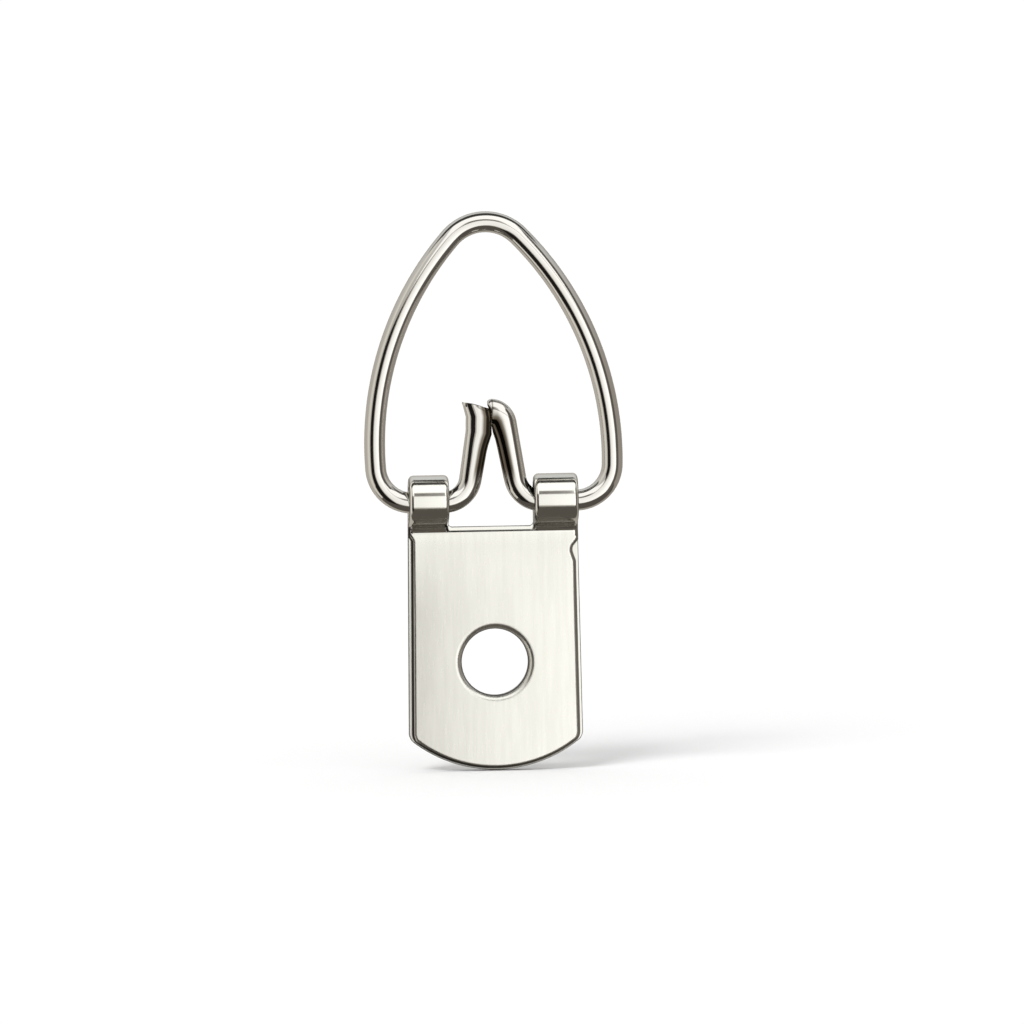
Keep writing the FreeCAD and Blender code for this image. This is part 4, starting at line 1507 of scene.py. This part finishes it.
    def leg_stations(self, sign: float, length: float) -> list[Station]:
        """Sets out one leg from its bend to its top, growing evenly oval.

        Args:
            sign: 1 for the right leg, -1 for the left.
            length: The length of the straight run.

        Returns:
            The stations after the foot.
        """
        bend_length = self.bend_radius * math.radians(self.leg_angle)
        whole = bend_length + length
        stations = []
        for step in range(1, self.bend_steps + 1):
            turned = self.leg_angle * step / self.bend_steps
            place = (sign * (self.bend_start - self.bend_radius * sine(turned)),
                     self.bend_radius * (1.0 - cosine(turned)))
            share = bend_length * step / self.bend_steps / whole
            stations.append(self.leg_station(sign, place, turned, share))
        foot = stations[-1]
        for step in range(1, self.leg_steps + 1):
            run = length * step / self.leg_steps
            place = (foot.x - sign * run * cosine(self.leg_angle),
                     foot.z + run * sine(self.leg_angle))
            share = (bend_length + run) / whole
            stations.append(self.leg_station(sign, place, self.leg_angle, share))
        return stations

    def left_end_stations(self, top: Station) -> list[Station]:
        """Sets out the left leg's end, which swells softly and leans to the left.

        Args:
            top: The leg's top section.

        Returns:
            The stations above it.
        """
        neck = Station(top.x + self.neck_shift, top.z + self.neck_rise, 90.0,
                       self.neck_half_width, self.leg_half_depth)
        flare = Station(top.x + self.flare_shift, top.z + self.flare_rise,
                        90.0 - self.flare_slope, self.flare_half_width, self.flare_half_depth)
        return ease(top, neck, self.neck_steps, False) + ease(neck, flare, self.flare_steps, True)

    def right_end_stations(self, top: Station) -> list[Station]:
        """Sets out the right leg's tip, which turns over to the left and rounds off.

        Args:
            top: The leg's top section.

        Returns:
            The stations above it.
        """
        middle = (top.x - self.tip_radius * sine(top.heading),
                  top.z + self.tip_radius * cosine(top.heading))
        rounding = math.degrees(self.tip_rounding / self.tip_radius)
        turns = [((self.tip_turn - rounding) * step / self.tip_steps, 0.0)
                 for step in range(1, self.tip_steps + 1)]
        for step in range(1, self.tip_rounding_steps + 1):
            round_over = 90.0 / self.tip_rounding_steps * step
            turns.append((self.tip_turn - rounding + rounding * sine(round_over),
                          self.tip_rounding * (1.0 - cosine(round_over))))
        stations = []
        for turned, shrink in turns:
            heading = top.heading + turned
            stations.append(Station(middle[0] + self.tip_radius * sine(heading),
                                    middle[1] - self.tip_radius * cosine(heading), heading,
                                    top.half_width - shrink, top.half_depth - shrink))
        return stations

    def draw_leg(self, bench: Bench, sign: float, stations: list[Station]) -> None:
        """Draws one end of the wire on from the bow's foot, station by station, and closes it.

        Args:
            bench: The bench with the bow.
            sign: 1 for the right leg, -1 for the left.
            stations: The stations to go through.
        """
        start, section = sign * self.bend_start, 2.0 * self.wire_radius
        bench.choose_within((start - SNAP, start + SNAP), (-section, section))
        here = Station(start, 0.0, 90.0 + sign * 90.0, self.wire_radius, self.wire_radius)
        for there in stations:
            bpy.ops.mesh.extrude_edges_move(TRANSFORM_OT_translate={
                "value": (there.x - here.x, 0.0, there.z - here.z)})
            centre = (there.x, 0.0, there.z)
            bench.turn(here.heading - there.heading, "Y", centre)
            wide = there.half_width / here.half_width
            deep = there.half_depth / here.half_depth
            bpy.ops.transform.resize(value=(wide, deep, wide), center_override=centre)
            here = there
        bpy.ops.mesh.edge_face_add()

    def press_tip(self, bench: Bench) -> None:
        """Presses the right tip flat where it lies against the left leg, and eases it.

        Args:
            bench: The bench with the wire, its right end face selected.
        """
        bpy.ops.mesh.inset(thickness=self.tip_inset)
        bpy.ops.mesh.poke()
        low, gap = self.bend_radius + self.wire_radius, self.leg_gap / 2.0
        bench.choose_within((-self.press_reach - gap, gap), (low, self.beak_height))
        bench.flatten(-self.tip_press * gap)
        bench.choose_within((-self.smooth_reach, self.smooth_reach),
                            (self.smooth_above, self.legs_top))
        bpy.ops.mesh.vertices_smooth(factor=self.smooth_factor, repeat=self.smooth_rounds)

    def press_neck(self, bench: Bench) -> None:
        """Presses the left leg flat where the right tip lies against it.

        Args:
            bench: The bench with the wire, its right leg hidden.
        """
        gap = self.leg_gap / 2.0
        bench.choose_within((-gap, self.press_reach + gap), (self.press_low, self.legs_top))
        bench.flatten(-gap)

    def shear_end(self, bench: Bench, end: Station) -> None:
        """Tilts the left leg's sheared end face to the front and breaks its rim."""
        bench.turn(self.shear_tilt, "X", (end.x, end.half_depth, end.z))
        bench.roll(self.end_break, self.end_break_steps)

    def hang(self, bench: Bench) -> None:
        """Hangs the wire in the strap's loop, leaning back until it nearly meets the board.

        Args:
            bench: The bench with the whole wire.
        """
        room = self.loop_radius - self.wire_radius - self.board_clearance
        bench.choose_all()
        bench.turn(-math.degrees(math.asin(room / self.height)), "X", (0.0, 0.0, 0.0))
        rise = self.loop_height - self.foot_play
        bpy.ops.transform.translate(value=(0.0, -self.loop_radius, rise))

    def build(self) -> Object:
        """Makes the ring and dresses it.

        Returns:
            The ring.
        """
        right = self.leg_stations(1.0, self.right_leg)
        left = self.leg_stations(-1.0, self.left_leg)
        left += self.left_end_stations(left[-1])
        bench = self.bend_bow()
        self.draw_leg(bench, 1.0, right + self.right_end_stations(right[-1]))
        self.press_tip(bench)
        bench.choose_within((-self.press_reach, self.height), (-self.height, self.legs_top))
        bpy.ops.mesh.hide(unselected=False)
        self.draw_leg(bench, -1.0, left)
        self.shear_end(bench, left[-1])
        self.press_neck(bench)
        bpy.ops.mesh.reveal(select=False)
        self.hang(bench)
        bench.face_outwards()
        bench.leave_editing()
        piece = bench.finish(self.crisp_angle)
        dress(piece, self.finish)
        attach(piece, "ring")
        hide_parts("ring")
        return piece


def clear_table() -> None:
    """Removes whatever the empty file came with."""
    for thing in list(bpy.data.objects):
        bpy.data.objects.remove(thing)


def main() -> None:
    """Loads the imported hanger, dresses it and sets up the studio."""
    logging.basicConfig(level=logging.INFO, format="%(name)s: %(message)s")
    clear_table()
    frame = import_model()
    LOG.info("packed model loaded with %d nodes", len(frame["nodes"]))
    bpy.ops.object.select_all(action="DESELECT")
    bpy.context.scene.view_settings.view_transform = "Standard"
    PhotoCamera().build()
    LOG.info("camera placed")
    for part in (FoldedStrap(), RingWire()):
        piece = part.build()
        LOG.info("%s made with %d faces", piece.name, len(piece.data.polygons))
    Studio().build()
    LOG.info("studio set up")


if __name__ == "__main__":
    main()
